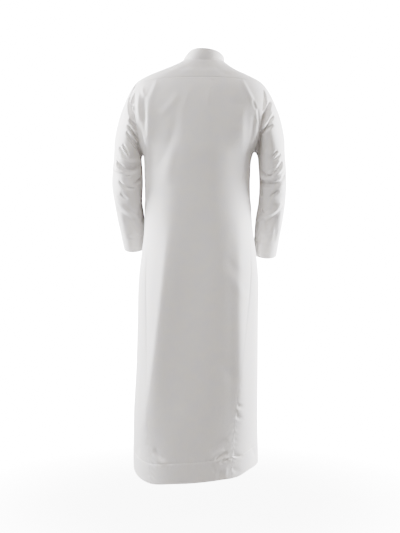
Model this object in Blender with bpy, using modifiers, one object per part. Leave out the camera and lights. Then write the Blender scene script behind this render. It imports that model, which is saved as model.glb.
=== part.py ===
"""Thobe robe, worn form: a long white robe held open as if on a wearer's shoulders.

Metres, +Z up. The origin is the centre of the shoulders, level with the side of the neck. The front
faces -Y, the back +Y, and the wearer's left arm is at +X.

The body of the robe is one bell-shaped surface. Its level rings are squared ovals read from
BODY_ROWS. A point of it is named by a turn round the bell (0 at the middle of the back, + towards
the wearer's left) and a height. The neck is an oval cut straight down through the bell, and each
armhole an oval cut straight sideways. Every cloth piece is a net of points between such lines,
given its thickness by a Solidify modifier. Pieces that meet at a seam share the seam's points.
"""

import math

import bmesh
import bpy
from mathutils import Vector

MM = 0.001

# Cloth
WALL = 1.5 * MM
CUFF_WALL = 2.2 * MM
COLLAR_WALL = 2.0 * MM
SEAM_GAP = 0.3 * MM

# What each edge draws back from a seam: on level cloth, where a sleeve turns a corner out of its
# armhole, and along the yoke, where the cloth bends over the shoulder
HALF_GAP = 0.17 * MM
CORNER_GAP = 0.5 * MM
YOKE_GAP = 0.4 * MM

# Body rings, in mm: height, half width, middle (x), depth behind, depth in front
SQUARENESS = 2.35
BODY_ROWS = (
    (-1490, 213, 15, 175, 168),
    (-1400, 216, 15, 172, 166),
    (-1235, 218, 15, 166, 160),
    (-1070, 214, 10, 159, 153),
    (-880, 210, 7, 150, 146),
    (-770, 207, 5, 146, 141),
    (-670, 198, 4, 141, 137),
    (-600, 191, 5, 138, 134),
    (-460, 186, 9, 134, 130),
    (-375, 186, 9, 136, 129),
    (-335, 192, 7, 138, 128),
    (-300, 211, 6, 137, 126),
    (-240, 240, 5, 134, 122),
    (-200, 255, 5, 130, 118),
    (-160, 257, 3, 124, 112),
    (-130, 247, 2, 117, 105),
    (-108, 234, 2, 110, 98),
    (-84, 215, 4, 99, 88),
    (-60, 170, 5, 89, 77),
    (-47, 137, 2, 81, 71),
    (-33, 107, -4, 74, 65),
    (-18, 82, -9, 66, 59),
    (2, 54, -12, 54, 48),
)
HEIGHT, HALF_WIDTH, MIDDLE, BEHIND, IN_FRONT = range(5)

# Largest soft folds of the body, in degrees round and mm: they run from a top point to a bottom
# point, with the width of the fold and how far it stands out (+) or sinks in (-).
BODY_FOLDS = (
    # turn_top, height_top, turn_bottom, height_bottom, width, rise
    (46, -130, 62, -360, 34, 7),
    (-44, -130, -60, -400, 36, 7),
    (22, -150, 38, -420, 40, -6),
    (-22, -140, -30, -330, 44, -5),
    (25, -430, 51, -1330, 42, 9),
    (-40, -700, -40, -1330, 46, 7),
    (132, -200, 122, -420, 40, -6),
    (-134, -190, -120, -400, 40, -6),
    (142, -560, 136, -1250, 70, 5),
    (-140, -600, -138, -1300, 64, 5),
)

# Neck: a squared oval seen from above
NECK_SQUARENESS = 2.25
NECK_MIDDLE_X = -12 * MM
NECK_HALF_WIDTH = 71 * MM
NECK_BEHIND = 65 * MM
NECK_IN_FRONT = 88 * MM
NECK_YOKE_CORNER = 116
NECK_SHOULDER_TURN = 72

# Armholes: ovals seen from the side
ARMHOLE_TOP = -84 * MM
ARMHOLE_BOTTOM = {1: -340 * MM, -1: -330 * MM}
ARMHOLE_BEHIND = 84 * MM
ARMHOLE_IN_FRONT = 70 * MM
SIDE_PANEL_CORNER = 36
YOKE_CORNER_BEHIND = 149
YOKE_CORNER_IN_FRONT = 214

# Yoke seam at the back: how much higher it lies at the middle than at the armholes
YOKE_ARCH = 20 * MM
YOKE_ARCH_POWER = 2.5

# Side panel seams: share of the half width at each height in mm. The skirt hangs a little twisted
# round the legs, in degrees at each height.
SIDE_SEAM_ROWS = ((-1490, 0.615), (-1235, 0.655), (-1000, 0.735), (-700, 0.87), (-300, 0.96))
SKIRT_TWIST_ROWS = ((-1490, 5.0), (-1100, 3.5), (-700, 0.0), (-300, 0.0))

# Hem
HEM_LEVEL = -1446 * MM
HEM_ROWS = (
    # turn in degrees, height in mm
    (-180, -1431),
    (-160, -1430),
    (-125, -1420),
    (-95, -1408),
    (-75, -1403),
    (-52, -1411),
    (-38, -1427),
    (-22, -1433),
    (0, -1441),
    (20, -1446),
    (38, -1452),
    (50, -1447),
    (72, -1427),
    (92, -1409),
    (115, -1414),
    (160, -1430),
    (180, -1431),
)

# Front opening
SLIT_BOTTOM = -470 * MM
SLIT_HALF_WIDTH = 0.4 * MM
PLACKET_WALL = 1.5 * MM
PLACKET_BELOW_SLIT = 60 * MM
PLACKET_TOP_SHARE = 0.62
BUTTON_RADIUS = 5.5 * MM
BUTTON_THICKNESS = 2.4 * MM

# Collar stand: how far it rises above the neck edge, its top oval, how far its wall bows out and
# how far its foot stands above the neck edge
COLLAR_RISE_BEHIND = 40 * MM
COLLAR_RISE_SIDE = 22 * MM
COLLAR_RISE_FRONT = 34 * MM
COLLAR_TILT = 0.06
COLLAR_TOP_MIDDLE_X = -20 * MM
COLLAR_TOP_HALF_WIDTH = 62 * MM
COLLAR_TOP_BEHIND = 59 * MM
COLLAR_TOP_IN_FRONT = 76 * MM
COLLAR_BOW = 2.0 * MM
COLLAR_SEAT = 0.2 * MM

# Arms, in mm: height, middle x, middle y, half width, half depth, from the upper arm to the cuff edge
ARM_ROWS = {
    1: (
        (-350, 252, 4, 48.5, 74),
        (-400, 252, 8, 52.5, 68),
        (-445, 252.5, 4, 53.5, 62),
        (-498, 251, -16, 48.5, 57),
        (-552, 244.5, -43, 47.5, 52),
        (-604, 239, -70, 43.5, 48),
        (-656, 233, -95, 40, 44),
    ),
    -1: (
        (-345, -250, 4, 48, 74),
        (-400, -253, 8, 47.5, 68),
        (-450, -253.8, 4, 46.8, 62),
        (-508, -251.2, -16, 46.8, 57),
        (-567, -243.8, -43, 47.8, 52),
        (-624, -238.5, -70, 44.5, 48),
        (-680, -234, -95, 41, 44),
    ),
}
CUFF_SHARE = 0.155

# Sleeve caps: how strongly they leave the armhole in line with the body, as shares of their length,
# and how much further the cloth carries on under the arm before it turns
CAP_PULL_SIDES = 0.4
CAP_PULL_BOTTOM = 0.5
CAP_PULL_TOP = {1: 0.2, -1: 0.38}
ARMPIT_FOLD = 15 * MM

# How a net's columns lean towards its top line, and the share of the front's width beside its neck
TOP_BEND = 1.5
FRONT_SEAM_SHARE = 0.33

# How finely the nets are drawn: numbers of cells
CELLS_SKIRT = 13
CELLS_ARMHOLE = 7
CELLS_SIDE_PANEL = 6
CELLS_YOKE_END = 4
CELLS_BACK = 16
CELLS_FRONT_SEAM = 4
CELLS_NECK_FRONT = 6
CELLS_YOKE_DEPTH = 4
CELLS_SLEEVE_CAP = 6
CELLS_ARM = 10
CELLS_CUFF = 2
CELLS_COLLAR = 2

CLOTH_COLOUR = (0.86, 0.86, 0.87)
BUTTON_COLOUR = (0.90, 0.89, 0.86)


def clear_scene():
    for obj in list(bpy.data.objects):
        bpy.data.objects.remove(obj, do_unlink=True)


def material(name, colour, roughness):
    result = bpy.data.materials.new(name)
    result.use_nodes = True
    shader = result.node_tree.nodes["Principled BSDF"]
    shader.inputs["Base Color"].default_value = (*colour, 1)
    shader.inputs["Roughness"].default_value = roughness
    shader.inputs["Metallic"].default_value = 0
    return result


# ---- reading tables ----


def read(rows, column, key):
    """A column of a table at any key, on a smooth curve. Rows rise by their first column."""
    key = min(max(key, rows[0][0]), rows[-1][0])
    index = 0
    while index < len(rows) - 2 and rows[index + 1][0] < key:
        index += 1

    def slope(at):
        low = rows[max(at - 1, 0)]
        high = rows[min(at + 1, len(rows) - 1)]
        return (high[column] - low[column]) / (high[0] - low[0])

    low, high = rows[index], rows[index + 1]
    span = high[0] - low[0]
    t = (key - low[0]) / span
    start = (1 + 2 * t) * (1 - t) ** 2 * low[column] + t * (1 - t) ** 2 * span * slope(index)
    end = t * t * (3 - 2 * t) * high[column] - t * t * (1 - t) * span * slope(index + 1)
    return start + end


def mix(a, b, t):
    return a + (b - a) * t


def steps(start, end, cells):
    return [mix(start, end, i / cells) for i in range(cells + 1)]


# ---- the bell of the body ----


def ring(z):
    """Half width, middle, depth behind and depth in front of the level ring at a height."""
    return [read(BODY_ROWS, column, z / MM) * MM for column in (HALF_WIDTH, MIDDLE, BEHIND, IN_FRONT)]


def other_share(share):
    """On a squared oval, the share of one half axis that goes with a share of the other."""
    return max(0.0, 1 - abs(share) ** SQUARENESS) ** (1 / SQUARENESS)


def fold_height(turn, z):
    """How far the body's folds move the cloth out at a point."""
    total = 0.0
    for turn_top, z_top, turn_bottom, z_bottom, width, rise in BODY_FOLDS:
        along = (z_top * MM - z) / ((z_top - z_bottom) * MM)
        if not -0.25 < along < 1.25:
            continue
        fade = math.cos(math.pi * (along - 0.5) / 1.5) ** 2
        line = math.radians(mix(turn_top, turn_bottom, along))
        radius = 0.5 * (ring(z)[0] + ring(z)[2])
        apart = (turn - line + math.pi) % (2 * math.pi) - math.pi
        across = apart * radius / (width * MM)
        total += rise * MM * fade * math.exp(-across * across)
    return total


def body(turn, z):
    half_width, middle, behind, in_front = ring(z)
    side, back = math.sin(turn), math.cos(turn)
    reach = (abs(side) ** SQUARENESS + abs(back) ** SQUARENESS) ** (-1 / SQUARENESS)
    depth = behind if back > 0 else in_front
    flat = Vector((half_width * reach * side, depth * reach * back, 0))
    return Vector((middle, 0, z)) + flat + flat.normalized() * fold_height(turn, z)


def body_normal(turn, z):
    step = 1e-3
    round_way = body(turn + step, z) - body(turn - step, z)
    up = body(turn, z + step) - body(turn, z - step)
    normal = up.cross(round_way).normalized()
    outward = body(turn, z) - Vector((ring(z)[1], 0, z))
    return normal if normal.dot(outward) > 0 else -normal


def neck_point(angle):
    """(turn, height) of the neck edge. Angle in degrees round the neck, 0 behind, + to the left."""
    side, back = math.sin(math.radians(angle)), math.cos(math.radians(angle))
    reach = (abs(side) ** NECK_SQUARENESS + abs(back) ** NECK_SQUARENESS) ** (-1 / NECK_SQUARENESS)
    x = NECK_MIDDLE_X + NECK_HALF_WIDTH * reach * side
    y = (NECK_BEHIND if back > 0 else NECK_IN_FRONT) * reach * back
    low, high = -0.2, 0.001
    for _ in range(40):
        z = (low + high) / 2
        half_width, middle, behind, in_front = ring(z)
        depth = behind if y > 0 else in_front
        outside = abs((x - middle) / half_width) ** SQUARENESS + abs(y / depth) ** SQUARENESS > 1
        low, high = (low, z) if outside else (z, high)
    return math.atan2((x - middle) / half_width, y / depth), z


def armhole_point(side, angle):
    """(turn, height) of an armhole edge. Angle 0 at the bottom, 90 behind, 180 on top, 270 in front."""
    bottom = ARMHOLE_BOTTOM[side]
    z = (ARMHOLE_TOP + bottom) / 2 - (ARMHOLE_TOP - bottom) / 2 * math.cos(math.radians(angle))
    sideways = math.sin(math.radians(angle))
    y = sideways * (ARMHOLE_BEHIND if sideways > 0 else ARMHOLE_IN_FRONT)
    depth = ring(z)[2] if y > 0 else ring(z)[3]
    return side * math.atan2(other_share(y / depth), y / depth), z


def side_seam(side, face, z):
    """Turn of a side panel's seam at a height. Face is 1 behind and -1 in front."""
    share = read(SIDE_SEAM_ROWS, 1, z / MM)
    twist = math.radians(read(SKIRT_TWIST_ROWS, 1, z / MM))
    turn = math.atan2(share, face * other_share(share))
    return side * turn + twist


def hem_height(turn):
    return read(HEM_ROWS, 1, (math.degrees(turn) + 180) % 360 - 180) * MM


# ---- nets of points, each point as (turn, height) ----


def skirt_rows(edge_low, edge_high, corner_low, corner_high, shares):
    """Rows from the hem up to the two corners under the arms, between two seams."""
    rows = []
    hem_low, hem_high = (hem_height(edge(HEM_LEVEL)) for edge in (edge_low, edge_high))
    for step in range(CELLS_SKIRT + 1):
        up = step / CELLS_SKIRT
        z_low, z_high = mix(hem_low, corner_low, up), mix(hem_high, corner_high, up)
        row = []
        for share in shares:
            turn = mix(edge_low(z_low), edge_high(z_high), share)
            level = mix(hem_low, hem_high, share)
            hem_shape = hem_height(mix(edge_low(hem_low), edge_high(hem_high), share)) - level
            row.append([turn, mix(z_low, z_high, share) + hem_shape * (1 - up)])
        rows.append(row)
    return rows


def bend_to(row, plain_top, top_line, up):
    """Moves a row's points part of the way that its net's plain top row has to go to the top line."""
    for point, plain, wanted in zip(row, plain_top, top_line):
        point[0] += (wanted[0] - plain[0]) * up**TOP_BEND
        point[1] += (wanted[1] - plain[1]) * up


def chest_rows(angles, face, shares, top_line):
    """Rows between the two armholes, from the corners under the arms to the top line."""
    plain = []
    for angle in angles:
        low, high = armhole_point(-face, angle), armhole_point(face, angle)
        if face < 0 and low[0] < 0:
            low = (low[0] + 2 * math.pi, low[1])
        if face < 0 and high[0] < 0:
            high = (high[0] + 2 * math.pi, high[1])
        plain.append([[mix(low[0], high[0], share), mix(low[1], high[1], share)] for share in shares])
    plain_top = [list(point) for point in plain[-1]]
    first, last = plain[0][0][1], plain[-1][0][1]
    for row in plain:
        bend_to(row, plain_top, top_line, (row[0][1] - first) / (last - first))
    return plain


def bend_skirt(rows, top_line):
    """Bends a skirt's rows more and more towards the line that its top row has to follow."""
    plain_top = [list(point) for point in rows[-1]]
    for step, row in enumerate(rows):
        bend_to(row, plain_top, top_line, step / CELLS_SKIRT)
    return rows


ARMHOLE_BACK_ANGLES = steps(SIDE_PANEL_CORNER, YOKE_CORNER_BEHIND, CELLS_ARMHOLE)
ARMHOLE_FRONT_ANGLES = steps(360 - SIDE_PANEL_CORNER, YOKE_CORNER_IN_FRONT, CELLS_ARMHOLE)
ARMHOLE_YOKE_ANGLES = steps(YOKE_CORNER_BEHIND, YOKE_CORNER_IN_FRONT, CELLS_YOKE_END)
ARMHOLE_SIDE_ANGLES = steps(-SIDE_PANEL_CORNER, SIDE_PANEL_CORNER, CELLS_SIDE_PANEL)


def back_seam_line():
    """The yoke seam across the back, from the wearer's right armhole to the left."""
    right, left = (armhole_point(side, YOKE_CORNER_BEHIND) for side in (-1, 1))
    line = []
    for share in steps(0, 1, CELLS_BACK):
        arch = YOKE_ARCH * (1 - abs(2 * share - 1) ** YOKE_ARCH_POWER)
        line.append((mix(right[0], left[0], share), mix(right[1], left[1], share) + arch))
    return line


def front_seam_line(side):
    """The yoke seam in front of one shoulder, from the neck to the armhole."""
    inner, outer = neck_point(side * NECK_YOKE_CORNER), armhole_point(side, YOKE_CORNER_IN_FRONT)
    return [
        (mix(inner[0], outer[0], share), mix(inner[1], outer[1], share))
        for share in steps(0, 1, CELLS_FRONT_SEAM)
    ]


def back_net():
    shares = steps(0, 1, CELLS_BACK)
    corners = [armhole_point(side, SIDE_PANEL_CORNER)[1] for side in (-1, 1)]
    rows = skirt_rows(
        lambda z: side_seam(-1, 1, z), lambda z: side_seam(1, 1, z), corners[0], corners[1], shares
    )
    chest = chest_rows(ARMHOLE_BACK_ANGLES, 1, shares, back_seam_line())
    return bend_skirt(rows, chest[0]) + chest[1:]


def front_columns():
    """Shares across the front, from the wearer's left to the right, with the slit's two edges."""
    seam = steps(0, FRONT_SEAM_SHARE, CELLS_FRONT_SEAM)
    neck = steps(FRONT_SEAM_SHARE, 0.5, CELLS_NECK_FRONT)
    left = seam[:-1] + neck
    return left + [1 - share for share in reversed(left)]


def neck_front_angles():
    return steps(NECK_YOKE_CORNER, 180, CELLS_NECK_FRONT)


def around(turn):
    """A turn from 0 to a whole one, for points in front."""
    return turn % (2 * math.pi)


def front_net():
    shares = front_columns()
    left_top = front_seam_line(1)[::-1][:-1] + [neck_point(angle) for angle in neck_front_angles()]
    right_top = front_seam_line(-1)[::-1][:-1] + [neck_point(-angle) for angle in neck_front_angles()]
    top = [(around(t), z) for t, z in left_top + right_top[::-1]]
    corners = [armhole_point(side, 360 - SIDE_PANEL_CORNER)[1] for side in (1, -1)]
    rows = skirt_rows(
        lambda z: around(side_seam(1, -1, z)),
        lambda z: around(side_seam(-1, -1, z)),
        corners[0],
        corners[1],
        shares,
    )
    chest = chest_rows(ARMHOLE_FRONT_ANGLES, -1, shares, top)
    return bend_skirt(rows, chest[0]) + chest[1:]


def side_net(side):
    """Columns run from the back seam to the front seam, and the top follows the armhole's bottom."""
    angles = ARMHOLE_SIDE_ANGLES[::-1]
    shares = steps(0, 1, CELLS_SIDE_PANEL)
    corner = armhole_point(side, SIDE_PANEL_CORNER)[1]

    def edge(face):
        return lambda z: side * around(side * side_seam(side, face, z))

    rows = skirt_rows(edge(1), edge(-1), corner, corner, shares)
    return bend_skirt(rows, [armhole_point(side, angle) for angle in angles])


def yoke_net():
    """A horseshoe from one front seam round the neck to the other: rows from neck to outer edge."""
    right_end = [armhole_point(-1, angle) for angle in ARMHOLE_YOKE_ANGLES[::-1]]
    left_end = [armhole_point(1, angle) for angle in ARMHOLE_YOKE_ANGLES]
    outer = right_end[:-1] + back_seam_line() + left_end[1:]
    inner = [neck_point(angle) for angle in yoke_neck_angles()]
    return [
        [(mix(a[0], b[0], share), mix(a[1], b[1], share)) for a, b in zip(inner, outer)]
        for share in steps(0, 1, CELLS_YOKE_DEPTH)
    ]


def yoke_neck_angles():
    ends = steps(NECK_YOKE_CORNER, NECK_SHOULDER_TURN, CELLS_YOKE_END)
    behind = steps(-NECK_SHOULDER_TURN, NECK_SHOULDER_TURN, CELLS_BACK)
    return [-angle for angle in ends[:-1]] + behind + ends[::-1][1:]


# ---- making cloth ----


def draw_in(points, low_row=0.0, high_row=0.0, low_column=0.0, high_column=0.0):
    """Moves a net's edge rows and columns towards their neighbours, which opens the seam gaps."""

    def shift(edge, inner, distance):
        for i, (a, b) in enumerate(zip(edge, inner)):
            edge[i] = a + (b - a).normalized() * distance

    if low_row:
        shift(points[0], points[1], low_row)
    if high_row:
        shift(points[-1], points[-2], high_row)
    columns = [list(column) for column in zip(*points)]
    if low_column:
        shift(columns[0], columns[1], low_column)
    if high_column:
        shift(columns[-1], columns[-2], high_column)
    return [list(row) for row in zip(*columns)]


def cloth(name, points, wall, look, closed=False, skip=lambda row, column: False):
    """One piece of cloth: a net of points given a thickness, half to each side."""
    mesh = bpy.data.meshes.new(name)
    work = bmesh.new()
    verts = [[work.verts.new(point) for point in row] for row in points]
    width = len(points[0])
    for row in range(len(points) - 1):
        for column in range(width if closed else width - 1):
            after = (column + 1) % width
            if skip(row, column):
                continue
            work.faces.new(
                (verts[row][column], verts[row][after], verts[row + 1][after], verts[row + 1][column])
            )
    bmesh.ops.remove_doubles(work, verts=work.verts, dist=1e-6)
    loose = [vert for vert in work.verts if not vert.link_faces]
    bmesh.ops.delete(work, geom=loose, context="VERTS")
    work.to_mesh(mesh)
    work.free()
    mesh.materials.append(look)
    obj = bpy.data.objects.new(name, mesh)
    robe.objects.link(obj)
    thickness = obj.modifiers.new("Thickness", "SOLIDIFY")
    thickness.thickness = wall
    thickness.offset = 0
    thickness.use_even_offset = True
    return obj


def place(net):
    return [[body(turn, z) for turn, z in row] for row in net]


def make_back_panel():
    points = draw_in(place(back_net()), 0, YOKE_GAP, HALF_GAP, HALF_GAP)
    cloth("back_panel", points, WALL, white_cloth)


def neck_clearance():
    """How far the neck edge of the panels stays from the middle of the collar's wall."""
    return COLLAR_WALL / 2 + SEAM_GAP


def front_points():
    """The front panel's points, with its two middle columns held apart to make the slit."""
    points = place(front_net())
    middle = len(points[0]) // 2
    for row in points:
        opened = SLIT_HALF_WIDTH if row[middle].z > SLIT_BOTTOM else 0
        row[middle - 1] = row[middle - 1] + Vector((opened, 0, 0))
        row[middle] = row[middle] - Vector((opened, 0, 0))
    points = draw_in(points, 0, YOKE_GAP, HALF_GAP, HALF_GAP)
    neck = range(CELLS_FRONT_SEAM, len(points[0]) - CELLS_FRONT_SEAM)
    for column in neck:
        top, below = points[-1][column], points[-2][column]
        points[-1][column] = top + (below - top).normalized() * neck_clearance()
    return points


def make_front_panel(points):
    middle = len(points[0]) // 2

    def in_slit(row, column):
        return column == middle - 1

    cloth("front_panel", points, WALL, white_cloth, skip=in_slit)


def make_side_panels():
    for side, name in ((1, "side_panel_left"), (-1, "side_panel_right")):
        points = draw_in(place(side_net(side)), 0, CORNER_GAP, SEAM_GAP, SEAM_GAP)
        cloth(name, [row[::-side] for row in points], WALL, white_cloth)


def make_yoke():
    points = draw_in(place(yoke_net()), neck_clearance(), HALF_GAP, HALF_GAP, HALF_GAP)
    cloth("yoke", points, WALL, white_cloth)


def neck_angles():
    """Every angle round the neck that has a point, from the right of the front opening to the left."""
    front = neck_front_angles()
    yoke = yoke_neck_angles()
    return [-angle for angle in front[::-1]][:-1] + yoke + front[1:]


def collar_point(angle, up):
    turn, z = neck_point(angle)
    base = body(turn, z)
    side, back = math.sin(math.radians(angle)), math.cos(math.radians(angle))
    depth = COLLAR_TOP_BEHIND if back > 0 else COLLAR_TOP_IN_FRONT
    end_rise = COLLAR_RISE_BEHIND if back > 0 else COLLAR_RISE_FRONT
    rise = mix(COLLAR_RISE_SIDE, end_rise, back * back) + COLLAR_TILT * NECK_HALF_WIDTH * side
    top = Vector((COLLAR_TOP_MIDDLE_X + COLLAR_TOP_HALF_WIDTH * side, depth * back, base.z + rise))
    bow = COLLAR_BOW * math.sin(math.pi * up)
    return base.lerp(top, up) + Vector((side, back, 0)) * bow


def collar_net(angles):
    return [[collar_point(angle, up) for angle in angles] for up in steps(0, 1, CELLS_COLLAR)]


def make_collar():
    """The stand runs round the neck and its two ends meet in front."""
    points = draw_in(collar_net(neck_angles()), 0, 0, SLIT_HALF_WIDTH, SLIT_HALF_WIDTH)
    for column, point in enumerate(points[0]):
        points[0][column] = point + Vector((0, 0, COLLAR_SEAT))
    cloth("collar_stand", points, COLLAR_WALL, white_cloth)


def arm_point(side, share, angle):
    """Point of the sleeve, and the way of the arm, at a share of the way from upper arm to cuff edge."""
    rows = ARM_ROWS[side]
    table = [(i / (len(rows) - 1), *row) for i, row in enumerate(rows)]

    def centre(at):
        return Vector((read(table, 2, at), read(table, 3, at), read(table, 1, at))) * MM

    along = (centre(min(share + 0.02, 1)) - centre(max(share - 0.02, 0))).normalized()
    behind = Vector((0, 1, 0))
    behind = (behind - along * behind.dot(along)).normalized()
    outward = along.cross(behind) * side
    half_width, half_depth = read(table, 4, share) * MM, read(table, 5, share) * MM
    turn = math.radians(angle)
    offset = behind * (math.sin(turn) * half_depth) - outward * (math.cos(turn) * half_width)
    return centre(share) + offset, along


def cap_point(side, angle, share, hole_middle):
    """The sleeve's cap: it leaves the armhole in line with the body and turns down along the arm."""
    turn, z = armhole_point(side, angle)
    start = body(turn, z)
    ahead, behind = armhole_point(side, angle + 1), armhole_point(side, angle - 1)
    edge = body(*ahead) - body(*behind)
    leave = edge.cross(body_normal(turn, z)).normalized()
    leave = leave if leave.dot(hole_middle - start) > 0 else -leave
    end, along = arm_point(side, 0, angle)
    length = (end - start).length
    upright = math.cos(math.radians(angle))
    pull_end = CAP_PULL_BOTTOM if upright > 0 else CAP_PULL_TOP[side]
    pull = length * (CAP_PULL_SIDES + pull_end * upright**2) + ARMPIT_FOLD * max(0, upright) ** 2
    t = share
    point = start * ((1 + 2 * t) * (1 - t) ** 2) + end * (t * t * (3 - 2 * t))
    point = point + leave * (t * (1 - t) ** 2 * pull)
    return point - along * (t * t * (1 - t) * length)


def armhole_angles():
    angles = ARMHOLE_SIDE_ANGLES[:-1] + ARMHOLE_BACK_ANGLES[:-1] + ARMHOLE_YOKE_ANGLES[:-1]
    return angles + ARMHOLE_FRONT_ANGLES[::-1][:-1]


def sleeve_points(side):
    angles = armhole_angles()
    rim = [body(*armhole_point(side, angle)) for angle in angles]
    hole_middle = sum(rim, Vector()) / len(rim)
    rows = [
        [cap_point(side, angle, share, hole_middle) for angle in angles]
        for share in steps(0, 1, CELLS_SLEEVE_CAP)
    ]
    for share in steps(0, 1 - CUFF_SHARE, CELLS_ARM)[1:]:
        rows.append([arm_point(side, share, angle)[0] for angle in angles])
    return rows


def make_sleeves():
    for side, name in ((1, "sleeve_left"), (-1, "sleeve_right")):
        points = draw_in(sleeve_points(side), CORNER_GAP, HALF_GAP)
        cloth(name, [row[::side] for row in points], WALL, white_cloth, closed=True)


def make_cuffs():
    for side, name in ((1, "cuff_left"), (-1, "cuff_right")):
        shares = steps(1 - CUFF_SHARE, 1, CELLS_CUFF)
        rows = [[arm_point(side, share, angle)[0] for angle in armhole_angles()] for share in shares]
        points = draw_in(rows, HALF_GAP, 0)
        cloth(name, [row[::side] for row in points], CUFF_WALL, white_cloth, closed=True)


def net_normal(points, row, column):
    across = points[row][column + 1] - points[row][column - 1]
    up = points[min(row + 1, len(points) - 1)][column] - points[row - 1][column]
    normal = across.cross(up).normalized()
    return normal if normal.y < 0 else -normal


def placket_rows(points):
    """The placket lies on the front panel over the slit, so it is made from the panel's points."""
    middle = len(points[0]) // 2
    lift = WALL / 2 + SEAM_GAP + PLACKET_WALL / 2
    rows = []
    for row in range(1, len(points)):
        if points[row][middle].z < SLIT_BOTTOM - PLACKET_BELOW_SLIT:
            continue
        left, right = points[row][middle - 2], points[row][middle + 1]
        centre = (points[row][middle - 1] + points[row][middle]) / 2
        lifts = [net_normal(points, row, column) * lift for column in (middle - 2, middle - 1, middle + 1)]
        rows.append([left + lifts[0], centre + lifts[1], right + lifts[2]])
    rows[-1] = [low.lerp(high, PLACKET_TOP_SHARE) for low, high in zip(rows[-2], rows[-1])]
    return rows


def make_placket(points):
    rows = placket_rows(points)
    cloth("placket", rows, PLACKET_WALL, white_cloth)
    return rows


def button(name, place_on, normal, lift):
    bpy.ops.mesh.primitive_cylinder_add(vertices=14, radius=BUTTON_RADIUS, depth=BUTTON_THICKNESS)
    obj = bpy.context.active_object
    obj.name = name
    obj.data.name = name
    for owner in list(obj.users_collection):
        owner.objects.unlink(obj)
    robe.objects.link(obj)
    obj.rotation_euler = normal.to_track_quat("Z", "Y").to_euler()
    obj.location = place_on + normal * (lift + SEAM_GAP + BUTTON_THICKNESS / 2)
    obj.data.materials.append(button_plastic)


def make_buttons(rows):
    """Buttons stand on the flat middle of a placket cell, so each lies level on it."""
    for number, row in enumerate((len(rows) - 2, len(rows) - 4, len(rows) - 6), start=1):
        low, high = rows[row - 1], rows[row]
        corners = (low[1], low[2], high[2], high[1])
        centre = sum(corners, Vector()) / 4
        normal = (corners[1] - corners[0]).cross(corners[3] - corners[0]).normalized()
        button(f"button_{number}", centre, normal if normal.y < 0 else -normal, PLACKET_WALL / 2)


clear_scene()
robe = bpy.data.collections.new("thobe_robe")
bpy.context.scene.collection.children.link(robe)
white_cloth = material("white_cloth", CLOTH_COLOUR, 0.8)
button_plastic = material("button_plastic", BUTTON_COLOUR, 0.35)

make_back_panel()
front = front_points()
make_front_panel(front)
make_side_panels()
make_yoke()
make_collar()
make_sleeves()
make_cuffs()
placket = make_placket(front)
make_buttons(placket)
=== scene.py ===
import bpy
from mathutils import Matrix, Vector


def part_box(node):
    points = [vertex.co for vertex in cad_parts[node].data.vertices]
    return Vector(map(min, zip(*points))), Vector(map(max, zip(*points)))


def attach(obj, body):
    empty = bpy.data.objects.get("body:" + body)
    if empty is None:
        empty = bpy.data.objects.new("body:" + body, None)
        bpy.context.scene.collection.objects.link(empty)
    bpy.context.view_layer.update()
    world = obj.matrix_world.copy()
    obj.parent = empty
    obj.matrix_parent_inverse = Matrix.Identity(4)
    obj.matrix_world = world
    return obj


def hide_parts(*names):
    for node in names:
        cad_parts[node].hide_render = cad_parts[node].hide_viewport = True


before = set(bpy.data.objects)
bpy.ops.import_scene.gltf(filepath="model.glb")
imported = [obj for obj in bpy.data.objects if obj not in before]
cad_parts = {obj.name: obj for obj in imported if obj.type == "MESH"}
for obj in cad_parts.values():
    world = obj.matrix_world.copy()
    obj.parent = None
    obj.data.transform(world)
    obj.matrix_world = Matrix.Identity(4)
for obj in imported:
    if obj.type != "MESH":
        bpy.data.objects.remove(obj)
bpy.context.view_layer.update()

import math

import bmesh
import bpy
import numpy as np
from mathutils import Vector, geometry

# ---- Back panel ----
# The back is one length of smooth white polyester and cotton suiting, cut from the yoke to the hem
# and sewn to the side panels. It hangs in soft folds from the shoulder blades, and its hem is
# turned up 67 mm and stitched once round.

MM = 0.001
SUITING_WALL = 0.8 * MM

# Level rings of the whole body, in mm: height, half width, middle (x), depth behind, depth in front
SQUARENESS = 2.35
BODY_ROWS = (
    (-1490, 213, 15, 175, 168),
    (-1400, 216, 15, 172, 166),
    (-1235, 218, 15, 166, 160),
    (-1070, 214, 10, 159, 153),
    (-880, 210, 7, 150, 146),
    (-770, 207, 5, 146, 141),
    (-670, 198, 4, 141, 137),
    (-600, 191, 5, 138, 134),
    (-460, 186, 9, 134, 130),
    (-375, 186, 9, 136, 129),
    (-335, 192, 7, 138, 128),
    (-300, 211, 6, 137, 126),
    (-240, 240, 5, 134, 122),
    (-200, 255, 5, 130, 118),
    (-160, 257, 3, 124, 112),
    (-130, 247, 2, 117, 105),
    (-108, 234, 2, 110, 98),
    (-84, 215, 4, 99, 88),
    (-60, 170, 5, 89, 77),
    (-47, 137, 2, 81, 71),
    (-33, 107, -4, 74, 65),
    (-18, 82, -9, 66, 59),
    (2, 54, -12, 54, 48),
)

# Largest folds of the whole body, in degrees round from the middle of the back and in mm. They fade
# out beyond both ends, over this share of their length
FOLD_OVERRUN = 0.25
BODY_FOLDS = (
    # turn_top, height_top, turn_bottom, height_bottom, width, rise
    (46, -130, 62, -360, 34, 7),
    (-44, -130, -60, -400, 36, 7),
    (22, -150, 38, -420, 40, -6),
    (-22, -140, -30, -330, 44, -5),
    (25, -430, 51, -1330, 42, 9),
    (-40, -700, -40, -1330, 46, 7),
    (132, -200, 122, -420, 40, -6),
    (-134, -190, -120, -400, 40, -6),
    (142, -560, 136, -1250, 70, 5),
    (-140, -600, -138, -1300, 64, 5),
)

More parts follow.
